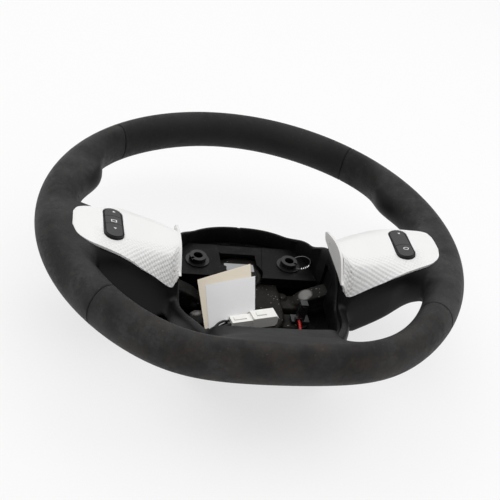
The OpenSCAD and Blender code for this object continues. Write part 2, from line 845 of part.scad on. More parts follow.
module rear_shroud() {
    color("#161617")
        difference() {
            wall_loft([for (t = hub_angles) shroud_outer(t)], [for (t = hub_angles) shroud_inner(t)],
                along = true);
            right_and_left() {
                translate([hub_w - 14, side_arm_y - arm_w / 2 - 1, flange_z - 8])
                    cube([18 + cradle_t + ear_out, arm_w + 2, 2 * flange_z]);
                translate([low_arm_x - 2, -hub_mid - hub_down - 11, 2 * flange_z])
                    cube([1.6 * low_arm.x, 30, 2 * flange_z]);
            }
            for (p = post_at) translate([p.x, p.y, -20]) cylinder(r = screw_r + 0.3, h = 40);
            for (t = [black_exit_t, red_exit_t]) at_wall(t, exit_z)
                translate([0, 0, -1]) cylinder(r = grommet_r, h = shroud_t + 2);
            translate([-notch_w / 2, hub_up - hub_mid - 6, lip_top_z - 0.8]) cube([notch_w, 10, 10]);
        }
}

module shroud_screws() {
    color("#9b9b9d") for (p = post_at) translate([p.x, p.y, 0]) difference() {
        union() {
            translate([0, 0, screw_seat_z - screw_head_h])
                cylinder(r = screw_head_r, h = screw_head_h - 0.02);
            translate([0, 0, screw_seat_z - 0.1]) cylinder(r = screw_r, h = screw_len);
        }
        translate([0, 0, screw_seat_z - screw_head_h - 1])
            cylinder(r = 1.5, h = 2.4, $fn = 6);
    }
}

// Airbag mounting

module inside_wall(gap) {
    polygon(hub_outline(-seat_gap - shroud_t - gap));
}

module plateau_form(inset) {
    intersection() {
        inside_wall(edge_gap + inset);
        polygon([[plateau_in_low + inset, plateau_front + inset], [80, plateau_front + inset],
            [80, plateau_back - inset], [plateau_in_high + inset, plateau_back - inset]]);
    }
}

module airbag_bracket() {
    low = ledge_z - bracket_t;
    color("#1a1a1b")
        difference() {
            union() {
                right_and_left() translate([0, 0, low]) linear_extrude(plateau_z - low)
                    plateau_form(0);
                translate([0, 0, plateau_z - 3.5]) linear_extrude(bracket_t) intersection() {
                    inside_wall(edge_gap);
                    translate([-plateau_in_high - 2, plateau_back - 33])
                        square([2 * plateau_in_high + 4, 34]);
                }
                translate([0, 0, low]) linear_extrude(bracket_t) intersection() {
                    inside_wall(edge_gap);
                    translate([-hub_w, plateau_back - 4]) square([2 * hub_w, hub_up]);
                }
                for (b = bars)
                    translate([0, 0, ledge_z - 0.1]) linear_extrude(bar_h) ledge_bar(b[0], b[1]);
            }
            right_and_left() {
                translate([0, 0, low - 1]) linear_extrude(plateau_z - low - bracket_t + 1)
                    plateau_form(bracket_t);
                translate([bush_pitch / 2, bush_y, 0]) cylinder(r = bush_hole_r + 2.1, h = 50);
            }
            translate([window[0].x, window[0].y, 0])
                cube([window[1].x - window[0].x, window[1].y - window[0].y, 50]);
            translate([0, 0, low - 1]) linear_extrude(plate_z + seat_gap - low + 1) plate_form(seat_gap);
            cylinder(r = insert_r + insert_wall + seat_gap, h = plateau_z + 10);
        }
}

// A raised bar along the back of the hub floor, between two angles
module ledge_bar(a0, a1) {
    n = 4;
    polygon(concat(
        [for (i = [0 : n]) hub_pt(a0 + (a1 - a0) * i / n, -6)],
        [for (i = [0 : n]) hub_pt(a1 - (a1 - a0) * i / n, -8.5)]
    ));
}

module bush() {
    translate([bush_pitch / 2, bush_y, 0]) difference() {
        union() {
            translate([0, 0, plateau_z - bracket_t - 2]) cylinder(r = bush_hole_r + 2, h = bracket_t + 3);
            translate([0, 0, plateau_z + 0.05]) cylinder(r = bush_flange_r, h = bush_flange_h);
            translate([0, 0, plateau_z + 1]) cylinder(r = bush_ring_r - 0.8, h = bush_z - plateau_z - 2);
            translate([0, 0, bush_z - 2]) cylinder(r = bush_ring_r, h = 2);
            for (k = [0 : 11]) rotate([0, 0, 30 * k]) translate([bush_ring_r - 1.4, -0.6, plateau_z + 1])
                cube([1.3, 1.2, bush_z - plateau_z - 2]);
        }
        translate([0, 0, plateau_z - 10]) cylinder(r = bush_hole_r, h = 30);
        rotate([0, 0, -38]) translate([bush_hole_r + 1, -bush_notch / 2, bush_z - 1.6])
            cube([bush_ring_r, bush_notch, 3]);
    }
}

module retaining_loop() {
    translate([bush_pitch / 2 + 9.4, bush_y - 1.1, plateau_z + 1.3 + wire_r])
        rotate([0, 0, -loop_turn / 2])
            rotate_extrude(angle = loop_turn) translate([loop_r, 0]) circle(wire_r, $fn = 16);
}

// Connectors and leads

module at_connector() {
    translate(socket_at) rotate([0, 0, socket_turn]) children();
}
module socket_half() {
    at_connector() difference() {
        union() {
            cube([socket_l, socket_w, socket_w]);
            translate([4, socket_w / 2 - 2, socket_w - 0.1]) cube([9, 4, 1.1]);
            for (y = [0.6, socket_w - 2.6])
                translate([socket_l - 0.1, y, 0.8]) cube([1.6, 2, socket_w - 3]);
        }
        translate([-1, 0.8, 1.8]) cube([nose_l + 1.3, socket_w - 1.6, plug_h + 0.4]);
        for (y = [3.2, socket_w - 5.2]) translate([socket_l - 5, y, 3]) cube([8, 2, 3.4]);
    }
}

module plug_half() {
    at_connector() difference() {
        translate([-plug_l, 1, 2]) union() {
            translate([0, 0.2, 0.2]) cube([plug_l + nose_l, plug_w - 0.4, plug_h - 0.4]);
            cube([plug_l - 0.4, plug_w, plug_h]);
            translate([3, plug_w / 2 - 1.6, plug_h - 0.1]) cube([11, 3.2, 0.9]);
        }
        for (y = [3.3, 7.7]) translate([-plug_l - 1, y, 5.5]) rotate([0, 90, 0])
            cylinder(r = lead_d / 2 + 0.03, h = 4);
    }
}

// Rings square to a route, for a tube of diameter d
function route_way(r, i) = unit(r[min(i + 1, len(r) - 1)] - r[max(i - 1, 0)]);
function route_ring(r, i, d, n = lead_n) =
    let (w = route_way(r, i), s = unit(cross(w, [0, 0, 1])), u = cross(s, w))
    [for (k = [0 : n - 1]) r[i] + d / 2 * (cos(360 * k / n) * s + sin(360 * k / n) * u)];
// A route carried on into the connector and the grommet
function whole_route(r, t, side) =
    let (w = hub_way(t), s = [-w.y, w.x] * side, p = hub_pt(t, -seat_gap - shroud_t) + s)
    concat(r, [concat(p - w * 2, [exit_z]), concat(p + w * (shroud_t - 0.1), [exit_z])]);
module tube(r, d) {
    loft([for (i = [0 : len(r) - 1]) route_ring(r, i, d)]);
}
module grommet(t, d, sides) {
    at_wall(t, exit_z) difference() {
        union() {
            translate([0, 0, -1.8]) cylinder(r = grommet_r + 1.3, h = 1.2);
            translate([0, 0, -0.7]) cylinder(r = grommet_r - 0.04, h = shroud_t + 0.6);
        }
        for (s = sides) translate([0, s, -3]) cylinder(r = d / 2 + 0.1, h = 12);
    }
}

module bush_right() {
    color("#202021") bush();
}
module bush_left() {
    color("#202021") mirror([1, 0, 0]) bush();
}
module retaining_wire() {
    color("#b9b9bb") retaining_loop();
}
module connector_plug() {
    color("#f2f1ec") plug_half();
}
module connector_socket() {
    color("#f2f1ec") socket_half();
}
module black_lead_rear() {
    color("#141414") tube(whole_route(black_route_rear, black_exit_t, -lead_side), lead_d);
}
module black_lead_front() {
    color("#141414") tube(whole_route(black_route_front, black_exit_t, lead_side), lead_d);
}
module lead_grommet() {
    color("#1b1b1b") grommet(black_exit_t, lead_d, [-lead_side, lead_side]);
}
module red_lead() {
    color("#a8201c") tube(whole_route(red_route, red_exit_t, 0), red_d);
}
module red_grommet() {
    color("#1b1b1b") grommet(red_exit_t, red_d, [0]);
}

module harness_plug() {
    color("#17171c") difference() {
        translate([lug_at.x, lug_at.y, lug_z + 0.3]) union() {
            translate([-8, -4.6, 0]) cube([16, 9.2, 3]);
            translate([-harness_w / 2, -harness_w / 2, 2.9]) cube([harness_w, harness_w, harness_h]);
            for (x = [-1.4, 0.6]) translate([x, -harness_w / 2 - 0.5, 6]) cube([0.8, 0.6, harness_h - 5]);
            translate([-5.4, -4.6, 2.9]) cube([6.4, 3.4, 3.6]);
        }
        translate([red_route[0].x, red_route[0].y - 1, red_route[0].z]) rotate([-90, 0, 0])
            cylinder(r = red_d / 2 + 0.04, h = 3);
    }
}

armature();
column_insert();
grip_foam();
leather_top();
leather_left();
leather_right();
leather_bottom();
trim_left();
trim_right();
switch_housing_left();
switch_housing_right();
switch_board_left();
switch_board_right();
key_left_up();
key_left_middle();
key_left_down();
key_right_up();
key_right_down();
rear_shroud();
shroud_screws();
airbag_bracket();
bush_left();
bush_right();
retaining_wire();
connector_plug();
connector_socket();
black_lead_front();
black_lead_rear();
lead_grommet();
harness_plug();
red_lead();
red_grommet();
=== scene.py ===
import json
import math

import bmesh
import bpy
import numpy as np
from mathutils import Matrix, Vector


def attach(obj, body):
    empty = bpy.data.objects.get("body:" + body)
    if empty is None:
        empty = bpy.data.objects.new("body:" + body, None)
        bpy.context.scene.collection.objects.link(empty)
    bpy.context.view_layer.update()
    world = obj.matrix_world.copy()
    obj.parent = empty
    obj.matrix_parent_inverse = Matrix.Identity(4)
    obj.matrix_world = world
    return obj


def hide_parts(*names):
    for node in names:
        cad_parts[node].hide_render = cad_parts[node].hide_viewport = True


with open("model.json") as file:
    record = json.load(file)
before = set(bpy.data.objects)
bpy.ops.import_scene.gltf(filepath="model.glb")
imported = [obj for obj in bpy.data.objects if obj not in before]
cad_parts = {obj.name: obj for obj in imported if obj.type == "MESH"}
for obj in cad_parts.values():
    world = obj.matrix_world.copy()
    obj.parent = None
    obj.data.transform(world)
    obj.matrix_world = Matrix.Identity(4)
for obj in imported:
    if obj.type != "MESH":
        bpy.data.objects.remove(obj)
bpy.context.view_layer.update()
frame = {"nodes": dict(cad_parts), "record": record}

NODE = frame["nodes"]
SCENE = bpy.context.scene
MM = 0.001


# Camera, at the place and turn of the photograph's

LENS, SENSOR = 56.29, 36.0
CAMERA_AT = (-0.16173, -0.53836, 0.45138)
CAMERA_RIGHT = Vector((0.97016, -0.14630, 0.19336))
CAMERA_DOWN = Vector((0.06480, -0.61200, -0.78820))
CAMERA_FORWARD = Vector((0.23365, 0.77721, -0.58426))


def make_camera():
    data = bpy.data.cameras.new("Camera")
    data.lens, data.sensor_width = LENS, SENSOR
    data.clip_start, data.clip_end = 0.05, 20.0
    cam = bpy.data.objects.new("Camera", data)
    SCENE.collection.objects.link(cam)
    turn = Matrix((CAMERA_RIGHT, -CAMERA_DOWN, -CAMERA_FORWARD)).transposed().to_4x4()
    cam.matrix_world = Matrix.Translation(CAMERA_AT) @ turn
    SCENE.camera = cam


make_camera()


# Number helpers

def ramp(v, lo, hi):
    u = min(1.0, max(0.0, (v - lo) / (hi - lo)))
    return u * u * (3 - 2 * u)


def bell(v, middle, spread):
    return math.exp(-((v - middle) / spread) ** 2)


def sind(a):
    return math.sin(math.radians(a))


def cosd(a):
    return math.cos(math.radians(a))


def straight(rows, u, column=1):
    """A value at u, on straight lines through the rows' values."""
    return float(np.interp(u, [row[0] for row in rows], [row[column] for row in rows]))


def along_rows(rows, u, column):
    """A value at u, on a smooth curve through the rows' values."""
    i = 0
    while i < len(rows) - 2 and u > rows[i + 1][0]:
        i += 1
    x0, x1 = rows[i][0], rows[i + 1][0]
    y0, y1 = rows[i][column], rows[i + 1][column]
    h = x1 - x0
    m = (y1 - y0) / h

    def slope(k):
        if k == 0 or k == len(rows) - 1:
            return m
        a = (rows[k][column] - rows[k - 1][column]) / (rows[k][0] - rows[k - 1][0])
        b = (rows[k + 1][column] - rows[k][column]) / (rows[k + 1][0] - rows[k][0])
        return 0 if a * b <= 0 else 2 * a * b / (a + b)

    s = (u - x0) / h
    m0, m1 = slope(i) * h, slope(i + 1) * h
    return (y0 * (1 + 2 * s) * (1 - s) ** 2 + m0 * s * (1 - s) ** 2
            + y1 * s * s * (3 - 2 * s) + m1 * s * s * (s - 1))


# Mesh helpers: forms are set out in millimetres and kept in metres

def formed(bm, around, along, place, wrap=True, capped=False):
    """A grid laid over a form: place(u, v) takes u around and v along, both 0 to 1."""
    made = bmesh.ops.create_grid(bm, x_segments=around, y_segments=along, size=1.0)["verts"]
    for v in made:
        v.co = Vector(place((v.co.x + 1) / 2, (v.co.y + 1) / 2)) * MM
    if wrap:
        bmesh.ops.remove_doubles(bm, verts=made, dist=2e-6)
        made = [v for v in made if v.is_valid]
    if capped:
        rim = [e for e in {e for v in made for e in v.link_edges} if e.is_boundary]
        bmesh.ops.holes_fill(bm, edges=rim, sides=0)
    faces = list({f for v in made for f in v.link_faces})
    bmesh.ops.recalc_face_normals(bm, faces=faces)


def turned_out(bm):
    """Makes every face look outward."""
    bmesh.ops.recalc_face_normals(bm, faces=bm.faces[:])


def raised(bm, offset):
    """Gives a flat form its thickness by lifting a copy of its faces."""
    lifted = bmesh.ops.extrude_face_region(bm, geom=bm.faces[:])["geom"]
    bmesh.ops.translate(bm, verts=[g for g in lifted if isinstance(g, bmesh.types.BMVert)], vec=offset)


def piece_from(bm, name, material, smooth_angle=35):
    mesh = bpy.data.meshes.new(name)
    for f in bm.faces:
        f.smooth = True
    bm.normal_update()
    if smooth_angle:
        limit = math.radians(smooth_angle)
        for e in bm.edges:
            e.smooth = len(e.link_faces) == 2 and e.calc_face_angle(0) < limit
    bm.to_mesh(mesh)
    bm.free()
    obj = bpy.data.objects.new(name, mesh)
    SCENE.collection.objects.link(obj)
    if material:
        mesh.materials.append(material)
    return obj


def applied(obj):
    """Makes a piece's modifiers into its mesh."""
    graph = bpy.context.evaluated_depsgraph_get()
    mesh = bpy.data.meshes.new_from_object(obj.evaluated_get(graph))
    old = obj.data
    obj.modifiers.clear()
    obj.data = mesh
    bpy.data.meshes.remove(old)


def remeshed(obj, voxel):
    """Joins a piece's forms into one even skin."""
    mod = obj.modifiers.new("remesh", "REMESH")
    mod.mode = "VOXEL"
    mod.voxel_size = voxel * MM
    mod.use_smooth_shade = True
    applied(obj)


def smooth_faces(obj):
    for poly in obj.data.polygons:
        poly.use_smooth = True


def cut_by(obj, cutter):
    mod = obj.modifiers.new("cut", "BOOLEAN")
    mod.operation = "DIFFERENCE"
    mod.solver = "EXACT"
    mod.object = cutter
    applied(obj)
    data = cutter.data
    bpy.data.objects.remove(cutter)
    bpy.data.meshes.remove(data)


def cutter_from(bm):
    return piece_from(bm, "cutter", None, smooth_angle=0)


def box_cutter(low, high):
    bm = bmesh.new()
    bmesh.ops.create_cube(bm, size=1.0)
    low, high = Vector(low) * MM, Vector(high) * MM
    bmesh.ops.scale(bm, vec=high - low, verts=bm.verts[:])
    bmesh.ops.translate(bm, vec=(low + high) / 2, verts=bm.verts[:])
    return cutter_from(bm)


def bevelled(obj, width, segments=2, angle=35):
    mod = obj.modifiers.new("bevel", "BEVEL")
    mod.width = width * MM
    mod.segments = segments
    mod.limit_method = "ANGLE"
    mod.angle_limit = math.radians(angle)
    mod.harden_normals = True


BODIES = frame["record"]["behaviour"]["bodies"]
MERGE = 0.01 * MM


def body_of(node):
    return next(body for body, held in BODIES.items() if node in held)


def seated(obj, node):
    """Gives a piece the body of the node that it stands for, and hides the node."""
    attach(obj, body_of(node))
    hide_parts(node)


def dressed(node, material, width=0.25, segments=2, angle=35):
    """A node's own form with its sharp edges eased, in place of the node."""
    bm = bmesh.new()
    bm.from_mesh(NODE[node].data)
    bmesh.ops.remove_doubles(bm, verts=bm.verts[:], dist=MERGE)
    bmesh.ops.dissolve_degenerate(bm, dist=MERGE, edges=bm.edges[:])
    bmesh.ops.dissolve_limit(bm, angle_limit=math.radians(1), verts=bm.verts[:], edges=bm.edges[:],
                             use_dissolve_boundaries=False)
    obj = piece_from(bm, "dressed_" + node, material, smooth_angle=angle)
    bevelled(obj, width, segments, angle)
    seated(obj, node)


# Materials

def new_material(name):
    """A material with its node tree and its shader."""
    material = bpy.data.materials.new(name)
    material.use_nodes = True
    return material, material.node_tree, material.node_tree.nodes["Principled BSDF"]


def given(tree, node, inputs):
    """Links or sets a node's inputs."""
    for key, value in inputs.items():
        if isinstance(value, bpy.types.NodeSocket):
            tree.links.new(value, node.inputs[key])
        else:
            node.inputs[key].default_value = value


def add(tree, kind, inputs=None, **settings):
    """A node with its settings made and its inputs linked or set."""
    node = tree.nodes.new(kind)
    for key, value in settings.items():
        setattr(node, key, value)
    given(tree, node, inputs or {})
    return node


def maths(tree, operation, a, b=0.0, clamp=False):
    return add(tree, "ShaderNodeMath", {0: a, 1: b}, operation=operation, use_clamp=clamp).outputs[0]


def times(tree, a, b):
    return maths(tree, "MULTIPLY", a, b)


def stretched(tree, value, lo, hi, out_lo=0.0, out_hi=1.0):
    ends = {"Value": value, "From Min": lo, "From Max": hi, "To Min": out_lo, "To Max": out_hi}
    return add(tree, "ShaderNodeMapRange", ends, interpolation_type="SMOOTHSTEP").outputs["Result"]


def mixed(tree, amount, a, b):
    return add(tree, "ShaderNodeMix", {0: amount, 6: a, 7: b}, data_type="RGBA").outputs[2]


def between(tree, amount, a, b):
    return add(tree, "ShaderNodeMix", {0: amount, 2: a, 3: b}, data_type="FLOAT").outputs[0]


def noise(tree, at, scale, detail, roughness=0.5):
    inputs = {"Vector": at, "Scale": scale, "Detail": detail, "Roughness": roughness}
    return add(tree, "ShaderNodeTexNoise", inputs).outputs["Fac"]


def group(name, inputs, outputs):
    tree = bpy.data.node_groups.new(name, "ShaderNodeTree")
    for title, kind, value in inputs:
        s = tree.interface.new_socket(name=title, in_out="INPUT", socket_type=kind)
        if value is not None:
            s.default_value = value
    for title, kind in outputs:
        tree.interface.new_socket(name=title, in_out="OUTPUT", socket_type=kind)
    return tree, tree.nodes.new("NodeGroupInput"), tree.nodes.new("NodeGroupOutput")


def grain_group():
    """Fine pebbled grain with soft creases: a height and a mottle mask."""
    tree, start, end = group(
        "leather_grain",
        [("Place", "NodeSocketVector", None), ("Pebble", "NodeSocketFloat", 900.0),
         ("Crease", "NodeSocketFloat", 120.0)],
        [("Height", "NodeSocketFloat"), ("Mottle", "NodeSocketFloat")])
    at = start.outputs["Place"]
    cells = add(tree, "ShaderNodeTexVoronoi", {"Vector": at, "Scale": start.outputs["Pebble"]},
                feature="DISTANCE_TO_EDGE")
    pebble = stretched(tree, cells.outputs["Distance"], 0.0, 0.25)
    height = maths(tree, "ADD", times(tree, pebble, 0.55),
                   times(tree, noise(tree, at, start.outputs["Crease"], 6.0, 0.6), 0.8))
    mottle = stretched(tree, noise(tree, at, 22.0, 5.0, 0.62), 0.38, 0.66)
    given(tree, end, {"Height": height, "Mottle": mottle})
    return tree


def dust_group():
    """Fine specks and soft smears that settle on faces turned up."""
    tree, start, end = group(
        "dust",
        [("Place", "NodeSocketVector", None), ("Up", "NodeSocketFloat", 0.5),
         ("Specks", "NodeSocketFloat", 420.0)],
        [("Smear", "NodeSocketFloat"), ("Speck", "NodeSocketFloat")])
    at = start.outputs["Place"]
    facing = add(tree, "ShaderNodeNewGeometry").outputs["Normal"]
    z = add(tree, "ShaderNodeSeparateXYZ", {0: facing}).outputs["Z"]
    up = stretched(tree, z, 0.0, 1.0, 0.25, 1.0)
    smear = times(tree, stretched(tree, noise(tree, at, 45.0, 8.0, 0.7), 0.5, 0.78), up)
    dots = add(tree, "ShaderNodeTexVoronoi", {"Vector": at, "Scale": start.outputs["Specks"]},
               feature="F1")
    pick = add(tree, "ShaderNodeTexWhiteNoise", {"Vector": dots.outputs["Position"]},
               noise_dimensions="3D")
    dot = times(tree, stretched(tree, dots.outputs["Distance"], 0.28, 0.12),
                stretched(tree, pick.outputs["Value"], 0.86, 0.9))
    speck = times(tree, dot, up)
    given(tree, end, {"Smear": times(tree, smear, start.outputs["Up"]), "Speck": speck})
    return tree


GRAIN = grain_group()
DUST = dust_group()


def placed(tree):
    return add(tree, "ShaderNodeTexCoord").outputs["Object"]


def use(tree, group_tree, inputs):
    return add(tree, "ShaderNodeGroup", inputs, node_tree=group_tree).outputs


def bumped(tree, height, strength, distance):
    inputs = {"Height": height, "Strength": strength, "Distance": distance}
    return add(tree, "ShaderNodeBump", inputs).outputs["Normal"]


def marked(tree, name):
    """The value of a mark that is kept on the points of a piece."""
    return add(tree, "ShaderNodeAttribute", attribute_name=name).outputs["Fac"]


def grey(v, tint=(1.0, 1.0, 1.0)):
    return (v * tint[0], v * tint[1], v * tint[2], 1.0)


PALE_DUST, PALE_SPECK = (0.22, 0.20, 0.18, 1.0), (0.5, 0.47, 0.43, 1.0)


def plain_material(name, colour, roughness, bump_scale=700.0, bump=0.12, spread=0.05, metallic=0.0,
                   specular=0.5, dust=0.0):
    """Moulded or cast stuff: mottled roughness, fine surface and dust."""
    mat, tree, shader = new_material(name)
    at = placed(tree)
    broad = noise(tree, at, 60.0, 5.0, 0.6)
    base = mixed(tree, broad, [c * (1 - spread) for c in colour[:3]] + [1.0],
                 [min(1.0, c * (1 + spread)) for c in colour[:3]] + [1.0])
    rough = stretched(tree, broad, 0.3, 0.7, roughness - 0.06, roughness + 0.06)
    if dust:
        d = use(tree, DUST, {"Place": at, "Up": dust, "Specks": 520.0})
        base = mixed(tree, d["Smear"], base, PALE_DUST)
        base = mixed(tree, times(tree, d["Speck"], min(1.0, dust * 1.6)), base, PALE_SPECK)
        rough = maths(tree, "ADD", rough, times(tree, d["Smear"], 0.25), clamp=True)
    normal = bumped(tree, noise(tree, at, bump_scale, 3.0), bump, 0.0002)
    given(tree, shader, {"Base Color": base, "Roughness": rough, "Normal": normal,
                         "Metallic": metallic, "Specular IOR Level": specular})
    return mat


# The bottom of the rim, where the dust lies, and the front edge of the foot, past which the foam is painted
# lighter as painted light on the foot's top, in metres
DUST_FROM, DUST_FULL = -0.10, -0.165
FOOT_FROM, FOOT_FULL = -0.088, -0.100


def grip_material():
    """Worn black leather on the rim, smoother moulded grip on the spokes; the foam is painted lighter on the
    foot's top as painted light.
    """
    mat, tree, shader = new_material("grip_skin")
    at = placed(tree)
    height_y = add(tree, "ShaderNodeSeparateXYZ", {0: at}).outputs["Y"]
    grain = use(tree, GRAIN, {"Place": at, "Pebble": 820.0, "Crease": 260.0})
    hide = marked(tree, "hide")
    scuff = noise(tree, at, 210.0, 6.0, 0.75)

    rubbed = times(tree, grain["Mottle"], stretched(tree, scuff, 0.38, 0.62, 0.35, 1.0))
    kept = maths(tree, "SUBTRACT", 1.0, times(tree, marked(tree, "top_panel"), 0.8))
    leather = mixed(tree, times(tree, rubbed, kept), grey(0.012, (1.04, 1.0, 0.99)),
                    grey(0.046, (1.02, 1.0, 0.99)))
    # painted light: the foam is painted lighter on the foot, whose top faces the light, and stays darker in
    # the pockets
    foam = mixed(tree, stretched(tree, height_y, FOOT_FROM, FOOT_FULL), grey(0.005, (0.98, 0.99, 1.03)),
                 grey(0.015, (0.97, 0.99, 1.05)))
    base = mixed(tree, hide, foam, leather)

    low = stretched(tree, height_y, DUST_FROM, DUST_FULL)
    brown = times(tree, times(tree, low, hide),
                  stretched(tree, noise(tree, at, 48.0, 8.0, 0.74), 0.44, 0.66, 0.0, 0.7))
    base = mixed(tree, brown, base, (0.034, 0.026, 0.021, 1.0))
    lint = use(tree, DUST, {"Place": at, "Up": 0.25, "Specks": 300.0})
    base = mixed(tree, times(tree, lint["Speck"], 0.10), base, (0.22, 0.20, 0.19, 1.0))
    base = mixed(tree, marked(tree, "groove"), base, grey(0.002))

    rough = between(tree, hide, 0.47, stretched(tree, scuff, 0.3, 0.7, 0.46, 0.68))
    height = times(tree, grain["Height"], between(tree, hide, 0.10, 0.30))
    given(tree, shader, {"Base Color": base, "Roughness": rough, "Specular IOR Level": 0.16,
                         "Normal": bumped(tree, height, 1.0, 0.00035)})
    return mat


GRIP = grip_material()
TUB = plain_material("tub_black", grey(0.004), 0.42, 900.0, 0.10, specular=0.16, dust=0.08)
BRACKET = plain_material("bracket_black", grey(0.003), 0.45, 900.0, 0.10, specular=0.1, dust=0.06)
BUSH = plain_material("bush_black", grey(0.008), 0.34, 500.0, 0.05, specular=0.35, dust=0.1)
KEYS = plain_material("key_anthracite", grey(0.022, (0.98, 1.0, 1.05)), 0.40, 1400.0, 0.10,
                      specular=0.35)
POD = plain_material("pod_black", grey(0.004), 0.45, specular=0.2)
WHITE_NYLON = plain_material("white_nylon", grey(0.92, (1.0, 0.99, 0.95)), 0.38, 400.0, 0.04,
                             spread=0.02)
STEEL = plain_material("plated_steel", grey(0.55), 0.28, 900.0, 0.05, metallic=1.0)
# painted shade: the retaining wire's ring gets a dark copy of steel
SHADED_WIRE_STEEL = plain_material("wire_steel_painted_shade", grey(0.10), 0.3, 900.0, 0.05, metallic=1.0)
RUBBER = plain_material("black_rubber", grey(0.006), 0.5, specular=0.3)
RED = plain_material("red_lead", (0.42, 0.012, 0.010, 1.0), 0.4)
PLUG = plain_material("plug_black", grey(0.010, (1.0, 1.0, 1.15)), 0.35, dust=0.2)
BOARD = plain_material("board_green", (0.02, 0.08, 0.04, 1.0), 0.45)


def cover_material():
    """Satin white cover: smooth in front, fine diamond dimples on the lower side, with painted shade in
    their hollows.
    """
    mat, tree, shader = new_material("pale_cover")
    at = placed(tree)
    dimpled = marked(tree, "dimpled")
    weave = add(tree, "ShaderNodeUVMap", uv_map="cover").outputs["UV"]
    parts = add(tree, "ShaderNodeSeparateXYZ", {0: weave}).outputs

    def wave(operation):
        turns = maths(tree, operation, parts["X"], parts["Y"])
        return maths(tree, "SINE", times(tree, turns, 2 * math.pi))

    diamond = times(tree, maths(tree, "ADD", wave("ADD"), wave("SUBTRACT")), 0.5)
    height = maths(tree, "ADD", times(tree, diamond, dimpled),
                   times(tree, noise(tree, at, 1600.0, 2.0), 0.12))
    normal = bumped(tree, height, 0.5, 0.0005)
    # painted shade: the dimples' hollows are painted darker
    dimple = times(tree, dimpled, stretched(tree, diamond, 0.1, -0.9, 0.0, 0.4))
    base = mixed(tree, dimple, grey(0.88, (1.0, 0.997, 0.99)), grey(0.76, (1.0, 0.99, 0.98)))
    stain = times(tree, marked(tree, "corner_dirt"),
                  stretched(tree, noise(tree, at, 620.0, 4.0, 0.6), 0.56, 0.68, 0.0, 0.8))
    base = mixed(tree, stain, base, (0.36, 0.22, 0.18, 1.0))
    given(tree, shader, {"Base Color": base, "Roughness": 0.42, "Normal": normal})
    return mat


COVER = cover_material()
COVER_END = plain_material("cover_end", grey(0.84, (1.0, 0.99, 0.975)), 0.5, 500.0, 0.10, spread=0.03)


def near_spot(tree, at, spot, full, none):
    """1 within a distance of a spot and 0 beyond a wider one, in millimetres."""
    far = add(tree, "ShaderNodeVectorMath", {0: at, 1: [c * MM for c in spot]}, operation="DISTANCE")
    return stretched(tree, far.outputs["Value"], none * MM, full * MM)


# Pale spots on the casting, bare rubs that also stand as painted highlights on the domes' tops and facets:
# place, and how far each is full and where it ends
RUBS_AND_HIGHLIGHTS = [((53, -25, 19), 5.0, 7.5), ((-48.5, -38, 9), 3.0, 6.0), ((-47, -43, 9), 3.0, 6.0)]


def metal_material():
    """Cast alloy: dull dark skin, paler spots that are bare rubs and painted highlights, and brown dirt."""
    mat, tree, shader = new_material("cast_alloy")
    at = placed(tree)
    broad = noise(tree, at, 38.0, 8.0, 0.65)
    fine = noise(tree, at, 420.0, 5.0, 0.7)
    base = mixed(tree, stretched(tree, broad, 0.38, 0.62), grey(0.004, (1.0, 0.96, 0.9)),
                 grey(0.015, (1.0, 0.93, 0.84)))
    d = use(tree, DUST, {"Place": at, "Up": 0.8, "Specks": 620.0})
    base = mixed(tree, d["Smear"], base, (0.014, 0.010, 0.008, 1.0))
    base = mixed(tree, d["Speck"], base, (0.42, 0.38, 0.33, 1.0))
    # painted highlight: the pale spots sit where the domes' tops and facets catch the light, as well as
    # being bare rubs
    rub = 0.0
    for spot, full, none in RUBS_AND_HIGHLIGHTS:
        rub = maths(tree, "MAXIMUM", rub, near_spot(tree, at, spot, full, none))
    rub = times(tree, rub, stretched(tree, broad, 0.36, 0.5, 0.35, 1.0))
    base = mixed(tree, rub, base, grey(0.17, (1.0, 0.96, 0.92)))
    given(tree, shader, {"Base Color": base, "Roughness": stretched(tree, fine, 0.3, 0.7, 0.30, 0.55),
                         "Metallic": times(tree, rub, 0.6), "Specular IOR Level": 0.08,
                         "Normal": bumped(tree, fine, 0.4, 0.0004)})
    return mat


ALLOY = metal_material()


# The grip: rim, spokes, cradle and foot as one skin

RIM_R, RIM_TOP_R, RIM_FLAT, FLAT_N = 185.0, 185.9, 175.1, 23
W_SIDE, W_TOP, W_BOTTOM = 34.4, 26.3, 21.6
RIM_DEPTH, RIM_PLANE = 37.4, 70.0
SEAM_UP, SEAM_LOW = 47.4, 40.0
HUB_W, HUB_UP, HUB_DOWN, HUB_MID, HUB_P = 70.3, 84.0, 103.0, 30.0, 2.7
CRADLE_T, CAVITY_FLOOR = 7.0, 19.3
TRIM_IN, TRIM_OUT, TRIM_Z0, TRIM_Z1, TRIM_T = 70.0, 155.0, 73.5, 88.0, 2.2


def rim_out(a):
    s = sind(a)
    base = RIM_R + (RIM_TOP_R - RIM_R) * max(0.0, s) ** 2
    return (base ** -FLAT_N + (max(0.0, -s) / RIM_FLAT) ** FLAT_N) ** (-1 / FLAT_N)


def rim_pt(a):
    r = rim_out(a)
    return Vector((r * cosd(a), r * sind(a)))


def rim_normal(a):
    d = rim_pt(a + 0.5) - rim_pt(a - 0.5)
    return Vector((d.y, -d.x)).normalized()


def rim_width(a):
    s = sind(a)
    return W_SIDE + ((W_TOP if s > 0 else W_BOTTOM) - W_SIDE) * s * s


def rim_mid(a):
    return rim_pt(a) - rim_normal(a) * rim_width(a) / 2


def fold(a):
    return math.degrees(math.asin(max(-1.0, min(1.0, sind(a)))))


def thumb(a):
    return 1 + 0.54 * bell(fold(a), 24, 8) - 0.41 * bell(fold(a), 42.7, 14.8)


def rim_place(u, v):
    a, ph = 360 * v, 360 * u
    c, s = cosd(ph), sind(ph)
    half = rim_width(a) / 2 * (1 + (thumb(a) - 1) * ramp(-c, 0.0, 0.5))
    p = rim_mid(a) + rim_normal(a) * half * c
    return (p.x, p.y, RIM_PLANE + RIM_DEPTH / 2 * s)


